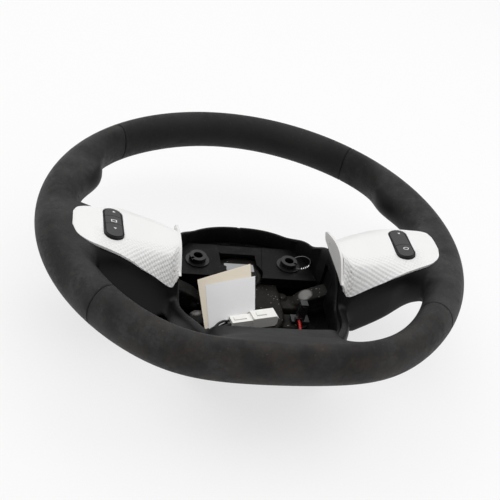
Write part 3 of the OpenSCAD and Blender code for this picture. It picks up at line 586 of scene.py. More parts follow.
# A cover from the hub to its tongue: share of its length, upper edge and how far the face falls there,
# lower edge and how far it falls there
TRIM_ROWS = [
    [0, -3.5, 11.7, -58.5, 15],
    [0.02, -2.6, 11.4, -60, 18.5],
    [0.045, -1.5, 10.9, -61.4, 24],
    [0.075, -0.5, 10.5, -63.4, 23.2],
    [0.14, 1.0, 9.8, -64.4, 20],
    [0.21, 1.9, 9.2, -65, 16.2],
    [0.26, 2.4, 8.7, -65, 14.2],
    [0.355, 2.5, 7.4, -65.2, 10.3],
    [0.47, 0.3, 4.8, -65, 4.8],
    [0.59, -3.2, 2.0, -63.2, 1.9],
    [0.72, -7, 1.2, -60, 1],
    [0.82, -9, 1, -57, 0.6],
    [0.9, -9.8, 0.8, -52, 0.4],
    [0.96, -11.4, 0.8, -45.5, 0.4],
    [1, -17, 1, -35, 0.6],
]
UP_REACH, LOW_REACH, HUB_REACH = 19.6, 15.0, 5.0
SWELL, SWELL_Y, SWELL_HALF, SWELL_END = 2.5, -29, 20, 26


def trim_front(x):
    u = min(1.0, max(0.0, (x - TRIM_IN) / (TRIM_OUT - 14 - TRIM_IN)))
    return TRIM_Z0 + (TRIM_Z1 - TRIM_Z0) * (1 - (1 - u) ** 1.3)


def trim_row(u):
    return [along_rows(TRIM_ROWS, u, k) for k in range(1, 5)]


def trim_falls(x, y, row):
    """How far a cover's face falls at y: rolled over above and below, and swelled near the hub."""
    low_reach = LOW_REACH + HUB_REACH * (1 - ramp(x, TRIM_IN, TRIM_IN + HUB_REACH))
    up = max(0.0, 1 - (row[0] - y) / UP_REACH)
    down = max(0.0, 1 - (y - row[2]) / low_reach)
    swell = SWELL * (1 - ramp(x, TRIM_IN, TRIM_IN + SWELL_END))
    swell *= max(0.0, 1 - ((y - SWELL_Y) / SWELL_HALF) ** 2)
    return row[1] * up ** 2 + row[3] * down ** 1.6 - swell


def trim_point(u, s, sink=0.0, grow=0.0):
    """A point on a cover's face: u outwards from the hub, s from its upper to its lower edge."""
    x = TRIM_IN + (TRIM_OUT - TRIM_IN) * u
    row = trim_row(u)

    def at(t):
        w = (1 - math.cos(math.pi * t)) / 2
        y = row[0] + (row[2] - row[0]) * w
        return y, trim_front(x) - trim_falls(x, y, row)

    y, z = at(s)
    y0, z0 = at(max(0.0, s - 0.02))
    y1, z1 = at(min(1.0, s + 0.02))
    n = Vector((-(z1 - z0), y1 - y0))
    n = n.normalized() * (-1 if n.y < 0 else 1)
    edge = grow if s <= 0 else (-grow if s >= 1 else 0.0)
    return Vector((x, y - n.x * sink + edge, z - n.y * sink))


def tail(t):
    """Share of the rise toward 6 o'clock."""
    return 1 - ramp(abs(270 - t), 25, 45)


def flange_top(t):
    return 19 + 6.5 * tail(t)


def squared(u, power):
    """Cosine, sine and stretch of a rounded square's outline; power(c, s) says how square it is there."""
    c, s = math.cos(2 * math.pi * u), math.sin(2 * math.pi * u)
    p = power(c, s)
    return c, s, (abs(c) ** p + abs(s) ** p) ** (-1 / p)


# A side spoke starts inside the hub wall, follows its cover up to SPOKE_GUIDE and ends inside the rim
SPOKE_FROM, SPOKE_RUN, SPOKE_GUIDE = 66, 94, 134
FOOT_FROM_Y, FOOT_RUN, FOOT_TOP = -112, 46, 74.5
FOOT_HALVES = [[-0.01, 50], [0.3, 52.5], [0.52, 55], [0.7, 61], [0.85, 70], [1.01, 80]]


def spoke_rear(x):
    deepest = CAVITY_FLOOR + 0.5 - 9.5 * ramp(x, 79, 86)
    rise = 28.5 * (max(0.0, 140 - x) / 34) ** 0.92
    return max(deepest, RIM_PLANE - RIM_DEPTH / 2 + 0.4 - rise)


def spoke_place(u, v):
    """Section of a right-hand spoke: u around it, v out from the hub to inside the rim."""
    x = SPOKE_FROM + SPOKE_RUN * v
    row = trim_row(min(1.0, max(0.0, (min(x, SPOKE_GUIDE) - TRIM_IN) / (TRIM_OUT - TRIM_IN))))
    front = trim_front(min(x, TRIM_OUT)) - 0.3 - 0.9 * ramp(x, 116, 130)
    rear = spoke_rear(x)
    high = row[0] + 0.9 + 3.2 * ramp(x, 104, 128) + 11 * ramp(x, 132, 158)
    low = row[2] - 0.9 - 16 * ramp(x, 124, 158)
    c, s, m = squared(u, lambda c, s: 10.0 if c < 0 and s < 0 else 5.0)
    y = (high + low) / 2 + (high - low) / 2 * c * m
    z = (front + rear) / 2 + (front - rear) / 2 * s * m
    if s > 0:
        fade = 1 - ramp(x, 118, SPOKE_GUIDE)
        z -= trim_falls(x, y, [high, row[1], low, row[3]]) * fade * ramp(s, 0, 0.4)
    return (x, y, z)


def hub_pt(t, off):
    c, s = cosd(t), sind(t)
    b = HUB_UP if s > 0 else HUB_DOWN
    return Vector(((HUB_W + off) * math.copysign(abs(c) ** (2 / HUB_P), c),
                   -HUB_MID + (b + off) * math.copysign(abs(s) ** (2 / HUB_P), s)))


def cradle_top(t):
    u = abs(270 - t)
    return 54.5 - 14.5 * ramp(u, 45, 82) + 20 * (1 - ramp(u, 4, 42))


def cradle_place(u, v):
    """Section of the wall round the lower half of the hub."""
    t = 183 + 174 * v
    z0, z1 = flange_top(t) + 0.3, cradle_top(t)
    c, s, m = squared(u, lambda c, s: 4.0)
    q = hub_pt(t, CRADLE_T / 2 - 1 + (CRADLE_T / 2 + 1) * c * m)
    return (q.x, q.y, (z0 + z1) / 2 + (z1 - z0) / 2 * s * m)


def foot_place(u, v):
    """The broad spoke at 6 o'clock, from the cradle to inside the rim."""
    y = FOOT_FROM_Y - FOOT_RUN * v
    half = along_rows(FOOT_HALVES, v, 1)
    top = FOOT_TOP + 11 * ramp(-y, 128, 154)
    base = flange_top(270) + 0.3
    rear = base + 2 + (RIM_PLANE - RIM_DEPTH / 2 - base) * ramp(-y, 118, 154)
    c, s, m = squared(u, lambda c, s: 4.0 if s < 0 else 2.6)
    return (half * c * m, y, (top + rear) / 2 + (top - rear) / 2 * s * m)


def filled_creases(obj, passes, where):
    """Rounds the hollow corners where the forms meet, and leaves the crowned parts."""
    mesh = obj.data
    n = len(mesh.vertices)
    p = np.empty(n * 3)
    mesh.vertices.foreach_get("co", p)
    p = p.reshape(-1, 3)
    e = np.empty(len(mesh.edges) * 2, dtype=np.int32)
    mesh.edges.foreach_get("vertices", e)
    e = e.reshape(-1, 2)
    degree = np.bincount(e.ravel(), minlength=n)[:, None]
    weight = where(p)[:, None]
    for i in range(passes):
        if i % 8 == 0:
            mesh.vertices.foreach_set("co", p.ravel())
            mesh.update()
            nor = np.empty(n * 3)
            mesh.vertex_normals.foreach_get("vector", nor)
            nor = nor.reshape(-1, 3)
        total = np.zeros_like(p)
        for k in range(3):
            total[:, k] = (np.bincount(e[:, 0], weights=p[e[:, 1], k], minlength=n)
                           + np.bincount(e[:, 1], weights=p[e[:, 0], k], minlength=n))
        out = np.maximum(0.0, ((total / degree - p) * nor).sum(1, keepdims=True))
        p = p + nor * out * weight
    mesh.vertices.foreach_set("co", p.ravel())
    mesh.update()


def relaxed(obj, passes, factor=0.5):
    bm = bmesh.new()
    bm.from_mesh(obj.data)
    for _ in range(passes):
        bmesh.ops.smooth_vert(bm, verts=bm.verts[:], factor=factor, use_axis_x=True, use_axis_y=True,
                              use_axis_z=True)
    bm.to_mesh(obj.data)
    bm.free()


SEAT_RUN, SEAT_LEAD, SEAT_GAP, SEAT_HEIGHT = 1.06, 0.05, 0.2, 18


def seat_cutter(side):
    """The room that a cover takes out of the grip: its underside, led past both ends and drawn up."""
    bm = bmesh.new()
    for v in bmesh.ops.create_grid(bm, x_segments=30, y_segments=60, size=1.0)["verts"]:
        run = (v.co.y + 1) / 2 * SEAT_RUN
        share = min(1.0, max(0.0, run - SEAT_LEAD))
        p = trim_point(share, (v.co.x + 1) / 2, TRIM_T + SEAT_GAP, 0.5)
        if run < SEAT_LEAD:
            p.x -= 8 * (SEAT_LEAD - run) / SEAT_LEAD
        elif run > 1 + SEAT_LEAD:
            p.x += 0.5
        v.co = Vector((side * p.x, p.y, p.z)) * MM
    raised(bm, (0, 0, SEAT_HEIGHT * MM))
    turned_out(bm)
    return cutter_from(bm)


def hub_cutter():
    bm = bmesh.new()
    formed(bm, 160, 1, lambda u, v: (*hub_pt(360 * u + 0.7, 0), 8 + 120 * v), capped=True)
    return cutter_from(bm)


# Cuts beside a seam's middle line, and how deep and how dark it is within each distance of that line
SEAM_CUTS = (-1.2, -0.45, 0.0, 0.45, 1.2)
SEAM_DIPS = ((0.1, 0.85, 1.0), (0.6, 0.42, 0.35), (1.3, -0.06, 0.0))


def seam_grooves(obj):
    """Cuts each seam into the skin as a narrow groove square to the rim."""
    bm = bmesh.new()
    bm.from_mesh(obj.data)
    groove = bm.verts.layers.float.new("groove")
    for a in (SEAM_UP, 180 - SEAM_UP, -SEAM_LOW, 180 + SEAM_LOW):
        mid, out = rim_mid(a), rim_normal(a)
        across = Vector((-out.y, out.x, 0))
        centre = Vector((mid.x, mid.y, RIM_PLANE)) * MM

        def near(co):
            return abs((co - centre).dot(across)) < 6 * MM and (co - centre).length < 34 * MM

        for step in SEAM_CUTS:
            faces = [f for f in bm.faces if near(f.calc_center_median())]
            edges = list({e for f in faces for e in f.edges})
            geom = faces + edges + list({v for f in faces for v in f.verts})
            bmesh.ops.bisect_plane(bm, geom=geom, dist=1e-7, plane_co=centre + across * step * MM,
                                   plane_no=across)
        for v in bm.verts:
            if not near(v.co):
                continue
            along = (v.co - centre).dot(across)
            for reach, dip, dark in SEAM_DIPS:
                if abs(along) / MM < reach:
                    v.co += (centre + across * along - v.co).normalized() * dip * MM
                    v[groove] = dark
                    break
    bm.to_mesh(obj.data)
    bm.free()


def skin_marks(obj):
    """Marks which parts are leather and which panel they are."""
    mesh = obj.data
    hide = mesh.attributes.new("hide", "FLOAT", "POINT")
    top = mesh.attributes.new("top_panel", "FLOAT", "POINT")
    start, end = SEAM_UP - 0.1, SEAM_UP + 0.1
    for v in mesh.vertices:
        x, y, _ = v.co / MM
        a = math.degrees(math.atan2(y, x))
        mid = rim_mid(a)
        inner = math.hypot(x, y) - math.hypot(mid.x, mid.y)
        edge = -rim_width(a) / 2 * (1.0 if y > -150 else 0.35)
        hide.data[v.index].value = ramp(inner, edge * 1.25, edge * 1.05)
        top.data[v.index].value = ramp(a, start, end) * ramp(180 - a, start, end)


def joints(p):
    """1 where the spokes and the foot meet the rim and the hub wall, 0 away from there."""
    x, y = np.abs(p[:, 0]) / MM, p[:, 1] / MM
    side = np.clip((x - 108) / 22, 0, 1) * np.clip((40 - np.abs(y + 22) * 0.55) / 12, 0, 1)
    foot = np.clip((-y - 118) / 14, 0, 1) * np.clip((120 - x) / 20, 0, 1)
    root = np.clip((96 - x) / 12, 0, 1) * np.clip((-y - 56) / 8, 0, 1)
    return np.clip(side + foot + root * 0.8, 0, 1)


SKIN_VOXEL, CASTING_VOXEL = 1.6, 1.1


def make_grip():
    bm = bmesh.new()
    formed(bm, 64, 420, rim_place)
    for side in (1, -1):
        def place(u, v):
            x, y, z = spoke_place(u, v)
            return (side * x, y, z)

        formed(bm, 72, 60, place, capped=True)
    formed(bm, 32, 120, cradle_place, capped=True)
    formed(bm, 64, 40, foot_place, capped=True)
    obj = piece_from(bm, "grip_skin", GRIP, smooth_angle=0)
    remeshed(obj, SKIN_VOXEL)
    filled_creases(obj, 140, joints)
    relaxed(obj, 3)
    cut_by(obj, hub_cutter())
    for side in (1, -1):
        cut_by(obj, seat_cutter(side))
    seam_grooves(obj)
    skin_marks(obj)
    bm = bmesh.new()
    bm.from_mesh(obj.data)
    for f in bm.faces:
        f.smooth = True
    for e in bm.edges:
        e.smooth = len(e.link_faces) != 2 or e.calc_face_angle(0) < math.radians(40)
    bm.to_mesh(obj.data)
    bm.free()
    if not obj.data.materials:
        obj.data.materials.append(GRIP)
    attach(obj, "wheel")
    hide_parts("grip_foam", "leather_top", "leather_left", "leather_right", "leather_bottom")


make_grip()


# Spoke covers

POD_AT, POD_TILT, POD_TURN = Vector((123.3, -28.4, 85.9)), (-4.8, -10.2), -1.8
POD_R, POD_REACH, POD_GAP = 7.9, 13.6, 0.35
KEY_PROUD, KEY_CROWN = 0.7, 60.0


def pod_matrix(side):
    m = (Matrix.Translation(POD_AT) @ Matrix.Rotation(math.radians(POD_TILT[1]), 4, "Y")
         @ Matrix.Rotation(math.radians(POD_TILT[0]), 4, "X")
         @ Matrix.Rotation(math.radians(POD_TURN), 4, "Z"))
    return Matrix.Diagonal((side, 1, 1, 1)) @ m


def pill_points(grow, n=24):
    """The outline of a switch: a half circle at each end."""
    r = POD_R + grow
    return [(r * cosd(180 * k / n + half), shift + r * sind(180 * k / n + half))
            for half, shift in ((0, POD_REACH), (180, -POD_REACH)) for k in range(n + 1)]


def pill_cutter(side):
    bm = bmesh.new()
    ring = pill_points(POD_GAP)
    m = pod_matrix(side)

    def place(u, v):
        return m @ Vector((*ring[round(u * len(ring)) % len(ring)], -20 + 40 * v))

    formed(bm, len(ring), 1, place, capped=True)
    return cutter_from(bm)


# Size of a dimple across and down the cover, and the corner by the hub where dirt lies
DIMPLE_W, DIMPLE_H = 3.6, 4.2
DIRT_AT = Vector((72, -58))


def make_cover(side, node):
    bm = bmesh.new()
    dimpled = bm.verts.layers.float.new("dimpled")
    dirt = bm.verts.layers.float.new("corner_dirt")
    weave = bm.loops.layers.uv.new("cover")
    place = {}
    for v in bmesh.ops.create_grid(bm, x_segments=70, y_segments=110, size=1.0)["verts"]:
        s, k = (v.co.x + 1) / 2, (v.co.y + 1) / 2
        u = 1 - (1 - k) ** 1.25
        p = trim_point(u, s)
        v[dimpled] = ramp(p.y - trim_row(u)[2], 24, 19) * ramp(u, 0.88, 0.7)
        v[dirt] = ramp((Vector((p.x, p.y)) - DIRT_AT).length, 15, 2)
        run, last = 0.0, p
        for i in range(1, 13):
            step = trim_point(u, s + (1 - s) * i / 12)
            run, last = run + (step - last).length, step
        place[v] = (p.x / DIMPLE_W, run / DIMPLE_H)
        v.co = Vector((side * p.x, p.y, p.z)) * MM
    for f in bm.faces:
        for loop in f.loops:
            loop[weave].uv = place[loop.vert]
    turned_out(bm)
    if sum(f.normal.z for f in bm.faces) < 0:
        bmesh.ops.reverse_faces(bm, faces=bm.faces[:])
    skin = piece_from(bm, "cover_" + ("right" if side > 0 else "left"), COVER, smooth_angle=0)
    wall = skin.modifiers.new("wall", "SOLIDIFY")
    wall.thickness = TRIM_T * MM
    wall.offset = -1.0
    wall.use_even_offset = True
    applied(skin)
    cut_by(skin, pill_cutter(side))
    smooth_faces(skin)
    bevelled(skin, 0.35, 3, 40)
    seated(skin, node)


# The wall that closes a cover's inner end: its front and rear edges, from y to height over TRIM_Z0
END_FRONT = [
    [-58.5, -13.6], [-57.6, -13], [-55.4, -12], [-51.6, -8.6], [-47.3, -4.8], [-43.5, -1.6], [-39.2, 1],
    [-33.6, 2.4], [-26.2, 2.5], [-20, 1.9], [-14.9, 0.9], [-9.5, -0.5], [-4.7, -1.9], [1, -3.7],
    [5.9, -5.5], [8, -6.6], [8.9, -8.2],
]
END_REAR = [[-58.5, -13.6], [-56, -15], [-44, -13.5], [0, -13], [4, -12.6], [7.4, -9.9], [8.9, -8.2]]
SLOT_AT, SLOT_TURN = (-9.6, 63.7), 42
SLOT_HALF = Vector((3, 3.2, 0.8))
LEFT_TIP_DROP = 8.0


def make_end_wall(side):
    """A cover's end wall with its slot; the photograph shows the left one's tip lower."""
    start, end = END_FRONT[0][0], END_FRONT[-1][0]

    def place(u, v):
        y = start + (end - start) * (1 - math.cos(math.pi * u)) / 2
        front, rear = straight(END_FRONT, y), straight(END_REAR, y)
        if side < 0:
            y -= LEFT_TIP_DROP * ramp(y, -6, end)
        return (side * (TRIM_IN - TRIM_T), y, TRIM_Z0 + rear + (front - rear) * v)

    bm = bmesh.new()
    formed(bm, 60, 6, place)
    raised(bm, (side * TRIM_T * MM, 0, 0))
    bmesh.ops.dissolve_degenerate(bm, dist=1e-6, edges=bm.edges[:])
    turned_out(bm)
    wall = piece_from(bm, "cover_end_" + ("right" if side > 0 else "left"), COVER_END, smooth_angle=0)
    slot = box_cutter(-SLOT_HALF, SLOT_HALF)
    slot.data.transform(Matrix.Translation(Vector((side * (TRIM_IN - TRIM_T / 2), *SLOT_AT)) * MM)
                        @ Matrix.Rotation(math.radians(SLOT_TURN), 4, "X"))
    cut_by(wall, slot)
    bevelled(wall, 0.3, 2, 40)
    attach(wall, "wheel")


make_cover(1, "trim_right")
make_cover(-1, "trim_left")
for side in (1, -1):
    make_end_wall(side)


# Key marks: small plain signs in white on the keys

MARK = plain_material("mark_white", grey(0.78), 0.5, spread=0.02)


def crown(x):
    """Height of a key's face at x from the middle line of its switch."""
    return KEY_PROUD - KEY_CROWN + math.sqrt(KEY_CROWN ** 2 - x * x)


def mark_on(side, key, x, y, build):
    """A thin sign laid on a key's crowned face: build(bm) sets it out flat about 0, 0."""
    bm = bmesh.new()
    build(bm)
    bmesh.ops.subdivide_edges(bm, edges=bm.edges[:], cuts=2, use_grid_fill=True)
    bmesh.ops.translate(bm, verts=bm.verts[:], vec=(x, y, -0.1))
    raised(bm, (0, 0, 0.14))
    for v in bm.verts:
        v.co.z += crown(v.co.x)
    bmesh.ops.transform(bm, matrix=Matrix.Scale(MM, 4) @ pod_matrix(side), verts=bm.verts[:])
    turned_out(bm)
    obj = piece_from(bm, "mark_" + key, MARK)
    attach(obj, key)


def triangle(size, turn):
    def build(bm):
        bmesh.ops.create_circle(bm, cap_ends=True, segments=3, radius=size,
                                matrix=Matrix.Rotation(math.radians(turn), 4, "Z"))
        bmesh.ops.scale(bm, vec=(1, 0.9, 1), verts=bm.verts[:])
    return build


def outline(radius, width, segments, stretch):
    """A line of even width: a ring, or a rectangle when it has four segments."""
    def build(bm):
        turn = Matrix.Rotation(math.pi / segments, 4, "Z")
        for r in (radius, radius - width):
            bmesh.ops.create_circle(bm, segments=segments, radius=r, matrix=turn)
        bmesh.ops.bridge_loops(bm, edges=bm.edges[:])
        bmesh.ops.scale(bm, vec=(stretch, 1, 1), verts=bm.verts[:])
    return build


UP, DOWN = 0, 180
for name in BODIES:
    if name.startswith("key_"):
        dressed(name, KEYS, 0.5, segments=3)
mark_on(-1, "key_left_up", -1.1, 16.2, triangle(1.6, UP))
mark_on(-1, "key_left_middle", -0.4, 2.1, outline(2.5, 0.85, 4, 1.35))
mark_on(-1, "key_left_down", -0.7, -8.6, triangle(1.5, DOWN))
mark_on(1, "key_right_up", 1.8, 15.6, triangle(1.5, DOWN))
mark_on(1, "key_right_down", 1.3, -8.8, outline(2.0, 0.6, 32, 1.2))


# Hub: the shroud, the casting, the bracket and what lies in it

LIP_TOP_Z, WALL_T, BACK_T = 32.5, 2.5, 2.5
BASE_R, BASE_Z, STEP_R, STEP_Z, HOLE_R = 50, -8, 45, -4, 33


def flange_off(t):
    """How far the flange reaches past the hub's outline."""
    if t < 180:
        u = abs(90 - t)
        return 1.6 + 5 * ramp(u, 62, 74) + 6.5 * ramp(u, 68, 78)
    return 6.6 + 6.5 * ramp(abs(270 - t), 62, 78) - 3.6 * tail(t)


def lip_z(t):
    """Height of the shroud's front edge."""
    u = abs(90 - t)
    if t < 180 and u < 90:
        return LIP_TOP_Z - 0.5 * ramp(u, 0, 25) + 9.4 * ramp(u, 30, 60) + 18.6 * ramp(u, 58, 84)
    return cradle_top(t) - 5 + 25 * ramp(abs(270 - t), 76, 90)


def shroud_loop(t, steps=9):
    """The closed section of the shroud wall at an angle: out along its back, in along its inside."""
    d = Vector((cosd(t), sind(t)))
    top = flange_top(t)
    draw = 0.07 * (1 - ramp(abs(270 - t), 25, 60))

    def bowl(foot, rim, low, high):
        run = []
        for k in range(1, steps):
            s = k / steps
            pull = 1 - draw * (1 - ramp(s, 0.85, 1.0))
            place = foot + (rim - foot) * sind(90 * s) * pull
            run.append((place, low + (high - low) * (1 - cosd(90 * s))))
        return run

    rim, rim_in = hub_pt(t, flange_off(t)), hub_pt(t, flange_off(t) - BACK_T)
    wall, wall_in = hub_pt(t, -0.3), hub_pt(t, -0.3 - WALL_T)
    lip = lip_z(t)
    outer = ([(HOLE_R * d, STEP_Z), (STEP_R * d, STEP_Z), (46.5 * d, BASE_Z), (BASE_R * d, BASE_Z)]
             + bowl(BASE_R * d, rim, BASE_Z, top - 3)
             + [(rim, top - 3), (rim, top), (wall, top), (wall, lip - 0.4), (hub_pt(t, -0.7), lip)])
    inner = ([(HOLE_R * d, -2.6), (44 * d, -2.6), (45.6 * d, -5.5), (48.5 * d, -5.5)]
             + bowl(48.5 * d, rim_in, -5.5, top - 5.5)
             + [(rim_in, top - 5), (rim_in, top - 2.5), (wall_in, top - 2.5), (wall_in, lip - 1.4),
                (hub_pt(t, -2.1), lip - 0.1)])
    return [(p.x, p.y, z) for p, z in outer + inner[::-1]]


def rod_cutter(radius, start, end, segments=32):
    bm = bmesh.new()
    start, end = Vector(start) * MM, Vector(end) * MM
    way = end - start
    turn = Matrix.Translation((start + end) / 2) @ way.to_track_quat("Z", "Y").to_matrix().to_4x4()
    bmesh.ops.create_cone(bm, cap_ends=True, segments=segments, radius1=radius * MM, radius2=radius * MM,
                          depth=way.length, matrix=turn)
    return cutter_from(bm)


def hub_way(t):
    """The way straight out of the hub wall at an angle."""
    d = hub_pt(t + 1, 0) - hub_pt(t - 1, 0)
    return Vector((d.y, -d.x)).normalized()


# Openings in the shroud's right half, the notch in its lip, the leads' way out and the screws
ARM_WINDOW = ((56.3, -35, 11), (94, -15, 49))
LOWER_WINDOW = ((18, -144, 38), (38.8, -114, 76))
LIP_NOTCH = ((-1.5, 48, LIP_TOP_Z - 0.8), (1.5, 58, LIP_TOP_Z + 9.2))
BLACK_EXIT, RED_EXIT, EXIT_Z, EXIT_R = 236, 305, 27, 4.5
SCREW_TURNS, SCREW_RING, SCREW_R = (-30.8, 210.8, 270), 39, 2.3


def make_shroud():
    count = len(shroud_loop(0))
    loops = {}

    def place(u, v):
        t = (360 * v + 0.5) % 360
        if t not in loops:
            loops[t] = shroud_loop(t)
        return loops[t][round(u * count) % count]

    bm = bmesh.new()
    formed(bm, count, 240, place)
    obj = piece_from(bm, "shroud", TUB, smooth_angle=0)
    for side in (1, -1):
        for start, end in (ARM_WINDOW, LOWER_WINDOW):
            left, right = sorted((side * start[0], side * end[0]))
            cut_by(obj, box_cutter((left, *start[1:]), (right, *end[1:])))
    for t in (BLACK_EXIT, RED_EXIT):
        p, w = hub_pt(t, -0.3 - WALL_T), hub_way(t)
        cut_by(obj, rod_cutter(EXIT_R, (*(p - w), EXIT_Z), (*(p + w * 4), EXIT_Z)))
    cut_by(obj, box_cutter(*LIP_NOTCH))
    for a in SCREW_TURNS:
        at = (SCREW_RING * cosd(a), SCREW_RING * sind(a))
        cut_by(obj, rod_cutter(SCREW_R, (*at, -20), (*at, 20)))
    smooth_faces(obj)
    bevelled(obj, 0.3, 2, 32)
    seated(obj, "rear_shroud")


def make_casting():
    """The cast frame with its edges rounded off as in a mould."""
    bm = bmesh.new()
    bm.from_mesh(NODE["armature"].data)
    bmesh.ops.remove_doubles(bm, verts=bm.verts[:], dist=MERGE)
    obj = piece_from(bm, "casting", ALLOY, smooth_angle=0)
    remeshed(obj, CASTING_VOXEL)
    relaxed(obj, 3)
    seated(obj, "armature")


def tube_along(points, radius, name, material, around=14, fine=6):
    """A smooth tube through a row of points."""
    pts = [Vector(p) for p in points]
    pts = [pts[0] * 2 - pts[1]] + pts + [pts[-1] * 2 - pts[-2]]
    path = []
    for i in range(1, len(pts) - 2):
        a, b, c, d = pts[i - 1:i + 3]
        for k in range(fine):
            t = k / fine
            path.append(0.5 * (2 * b + (c - a) * t + (2 * a - 5 * b + 4 * c - d) * t * t
                               + (3 * b - a - 3 * c + d) * t ** 3))
    path.append(pts[-2])
    n = len(path) - 1
    rings = []
    for i, p in enumerate(path):
        way = (path[min(i + 1, n)] - path[max(i - 1, 0)]).normalized()
        s = way.cross(Vector((0, 0, 1))).normalized()
        rings.append((p, s, s.cross(way)))

    def place(u, v):
        p, s, w = rings[round(v * n)]
        return p + radius * (s * cosd(360 * u) + w * sind(360 * u))

    bm = bmesh.new()
    formed(bm, around, n, place, capped=True)
    return piece_from(bm, name, material, smooth_angle=60)


LEAD_R, RED_R, LEAD_SIDE = 1.1, 1.3, 1.7


def lead(name, route, t, side, radius, material, node):
    """A lead along its route and on through the hub wall, beside the middle of its way out."""
    w = hub_way(t)
    p = hub_pt(t, -0.3 - WALL_T) + Vector((-w.y, w.x)) * side
    ends = [(*(p - w * 2), EXIT_Z), (*(p + w * 2.4), EXIT_Z)]
    seated(tube_along(route + ends, radius, name, material), node)


REAR_ROUTE = [
    (-20.5, -65.1, 20.8), (-24.4, -66, 20.9), (-28.4, -67.6, 21.6), (-32.8, -71.4, 22.2), (-36.2, -76, 22.4),
    (-38.6, -82, 22.4), (-40.4, -90, 22.4), (-42, -99, 23.6), (-43.4, -107, 25.8), (-44.6, -113, 26.8),
]
FRONT_ROUTE = [
    (-19.5, -69.3, 20.8), (-23.4, -70.3, 20.9), (-27, -72.4, 21.4), (-30.8, -76.4, 22), (-33.8, -82, 22.4),
    (-35.8, -88, 22.4), (-37.6, -96, 22.8), (-39.6, -104, 24.6), (-41, -111.6, 26.6),
]
RED_ROUTE = [
    (42.6, -53.4, 13.4), (42.4, -57.4, 13.6), (41.8, -63, 13.2), (41, -70, 12.8), (40.4, -78, 12.8),
    (40.4, -86, 14), (41, -95, 17), (42, -104, 22.4), (43, -111, 26),
]

# The two sheets of the tag: rows of share, x, y and z along the top edge and along the line it stands on
FRONT_TOP = [(0, -41.7, -36.3, 33.7), (1, 1.9, -27.6, 39.7)]
FRONT_FOOT = [(0, -38.2, -68.2, 11.3), (0.36, -24, -61.9, 15.8), (1, 1.4, -52, 22.7)]
BACK_TOP = [(0, -48.6, -32.4, 35.9), (1, -2.2, -18.5, 45.6)]
BACK_FOOT = [(0, -41.8, -67.2, 11.5), (0.4, -24, -61.8, 15.25), (1, 0.4, -52.2, 21.9)]
SHEET_T = 0.18

LABEL_SIZE, LABEL_T, LABEL_ROUND, LABEL_AT = (27.4, 10.4, 1), 0.2, 1.2, (-3.4, 8.8, 19.02)

PAPER = plain_material("tag_paper", grey(0.86, (0.985, 0.985, 1.0)), 0.7, 300.0, 0.05, spread=0.03)
CREAM = plain_material("tag_cream", grey(0.84, (1.0, 0.90, 0.74)), 0.75, 300.0, 0.05, spread=0.05)
STICKER = plain_material("bare_label", grey(0.34, (0.98, 0.99, 1.0)), 0.4, 300.0, 0.03, spread=0.04)
# painted glint: the retaining wire's wound end gets a bright copy of the same steel
GLINT_STEEL = plain_material("wire_painted_glint", grey(0.9), 0.22, 600.0, 0.05, spread=0.02, metallic=1.0)
LOOP_AT, LOOP_R, LOOP_TILT, LOOP_SPAN = Vector((54.2, 11.2, 27.4)), 9.0, 18, 276
WIRE_R, KNOT_R, KNOT_WIND = 0.5, 0.42, 0.8
KNOT_FROM, KNOT_SPAN, KNOT_TURNS = -100, 58, 5


def on_line(line, u):
    """The point at share u of a line given by rows of share, x, y and z."""
    return Vector([straight(line, u, k) for k in (1, 2, 3)])


def paper(name, material, top, foot, bend):
    """A sheet that stands on its foot line, bowed a little across its middle."""
    lean = (on_line(top, 1) - on_line(top, 0)).cross(on_line(foot, 0) - on_line(top, 0)).normalized()
    lean = lean * (-1 if lean.y > 0 else 1)

    def place(u, v):
        bow = lean * bend * math.sin(math.pi * u) * math.sin(math.pi * (1 - v) * 0.6)
        return on_line(top, u).lerp(on_line(foot, u), v) + bow

    bm = bmesh.new()
    formed(bm, 30, 24, place, wrap=False)
    obj = piece_from(bm, name, material, smooth_angle=60)
    wall = obj.modifiers.new("wall", "SOLIDIFY")
    wall.thickness = SHEET_T * MM
    wall.offset = 0.0
    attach(obj, "wheel")


def make_label():
    """A bare label on the boss of the casting, seen through the bracket's window."""
    bm = bmesh.new()
    bmesh.ops.create_grid(bm, x_segments=1, y_segments=1, size=0.5)
    bmesh.ops.scale(bm, vec=LABEL_SIZE, verts=bm.verts[:])
    bmesh.ops.bevel(bm, geom=bm.verts[:], offset=LABEL_ROUND, affect="VERTICES", segments=4,
                    profile=0.5, material=-1)
    raised(bm, (0, 0, LABEL_T))
    bmesh.ops.transform(bm, matrix=Matrix.Scale(MM, 4) @ Matrix.Translation(LABEL_AT), verts=bm.verts[:])
    turned_out(bm)
    obj = piece_from(bm, "label_blank", STICKER)
    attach(obj, "wheel")


def loop_point(a, grow=0.0, lift=0.0):
    """A point of the retaining wire's ring, which rises toward the hub wall."""
    r = LOOP_R + grow
    return (LOOP_AT.x + r * cosd(a) * cosd(LOOP_TILT), LOOP_AT.y + r * sind(a),
            LOOP_AT.z + r * cosd(a) * sind(LOOP_TILT) + lift)


def make_wire():
    """The ring of the retaining wire, and its end wound round it; the ring has painted shade and the end a
    painted glint.
    """
    ring = [loop_point(-LOOP_SPAN / 2 + LOOP_SPAN * i / 24) for i in range(25)]
    seated(tube_along(ring, WIRE_R, "wire_ring", SHADED_WIRE_STEEL, around=10, fine=3), "retaining_wire")
    run = []
    for i in range(41):
        turn = 360 * KNOT_TURNS * i / 40
        run.append(loop_point(KNOT_FROM + KNOT_SPAN * i / 40, KNOT_WIND * cosd(turn),
                              KNOT_WIND * sind(turn)))
    knot = tube_along(run, KNOT_R, "wire_knot", GLINT_STEEL, around=8, fine=4)
    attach(knot, "wheel")


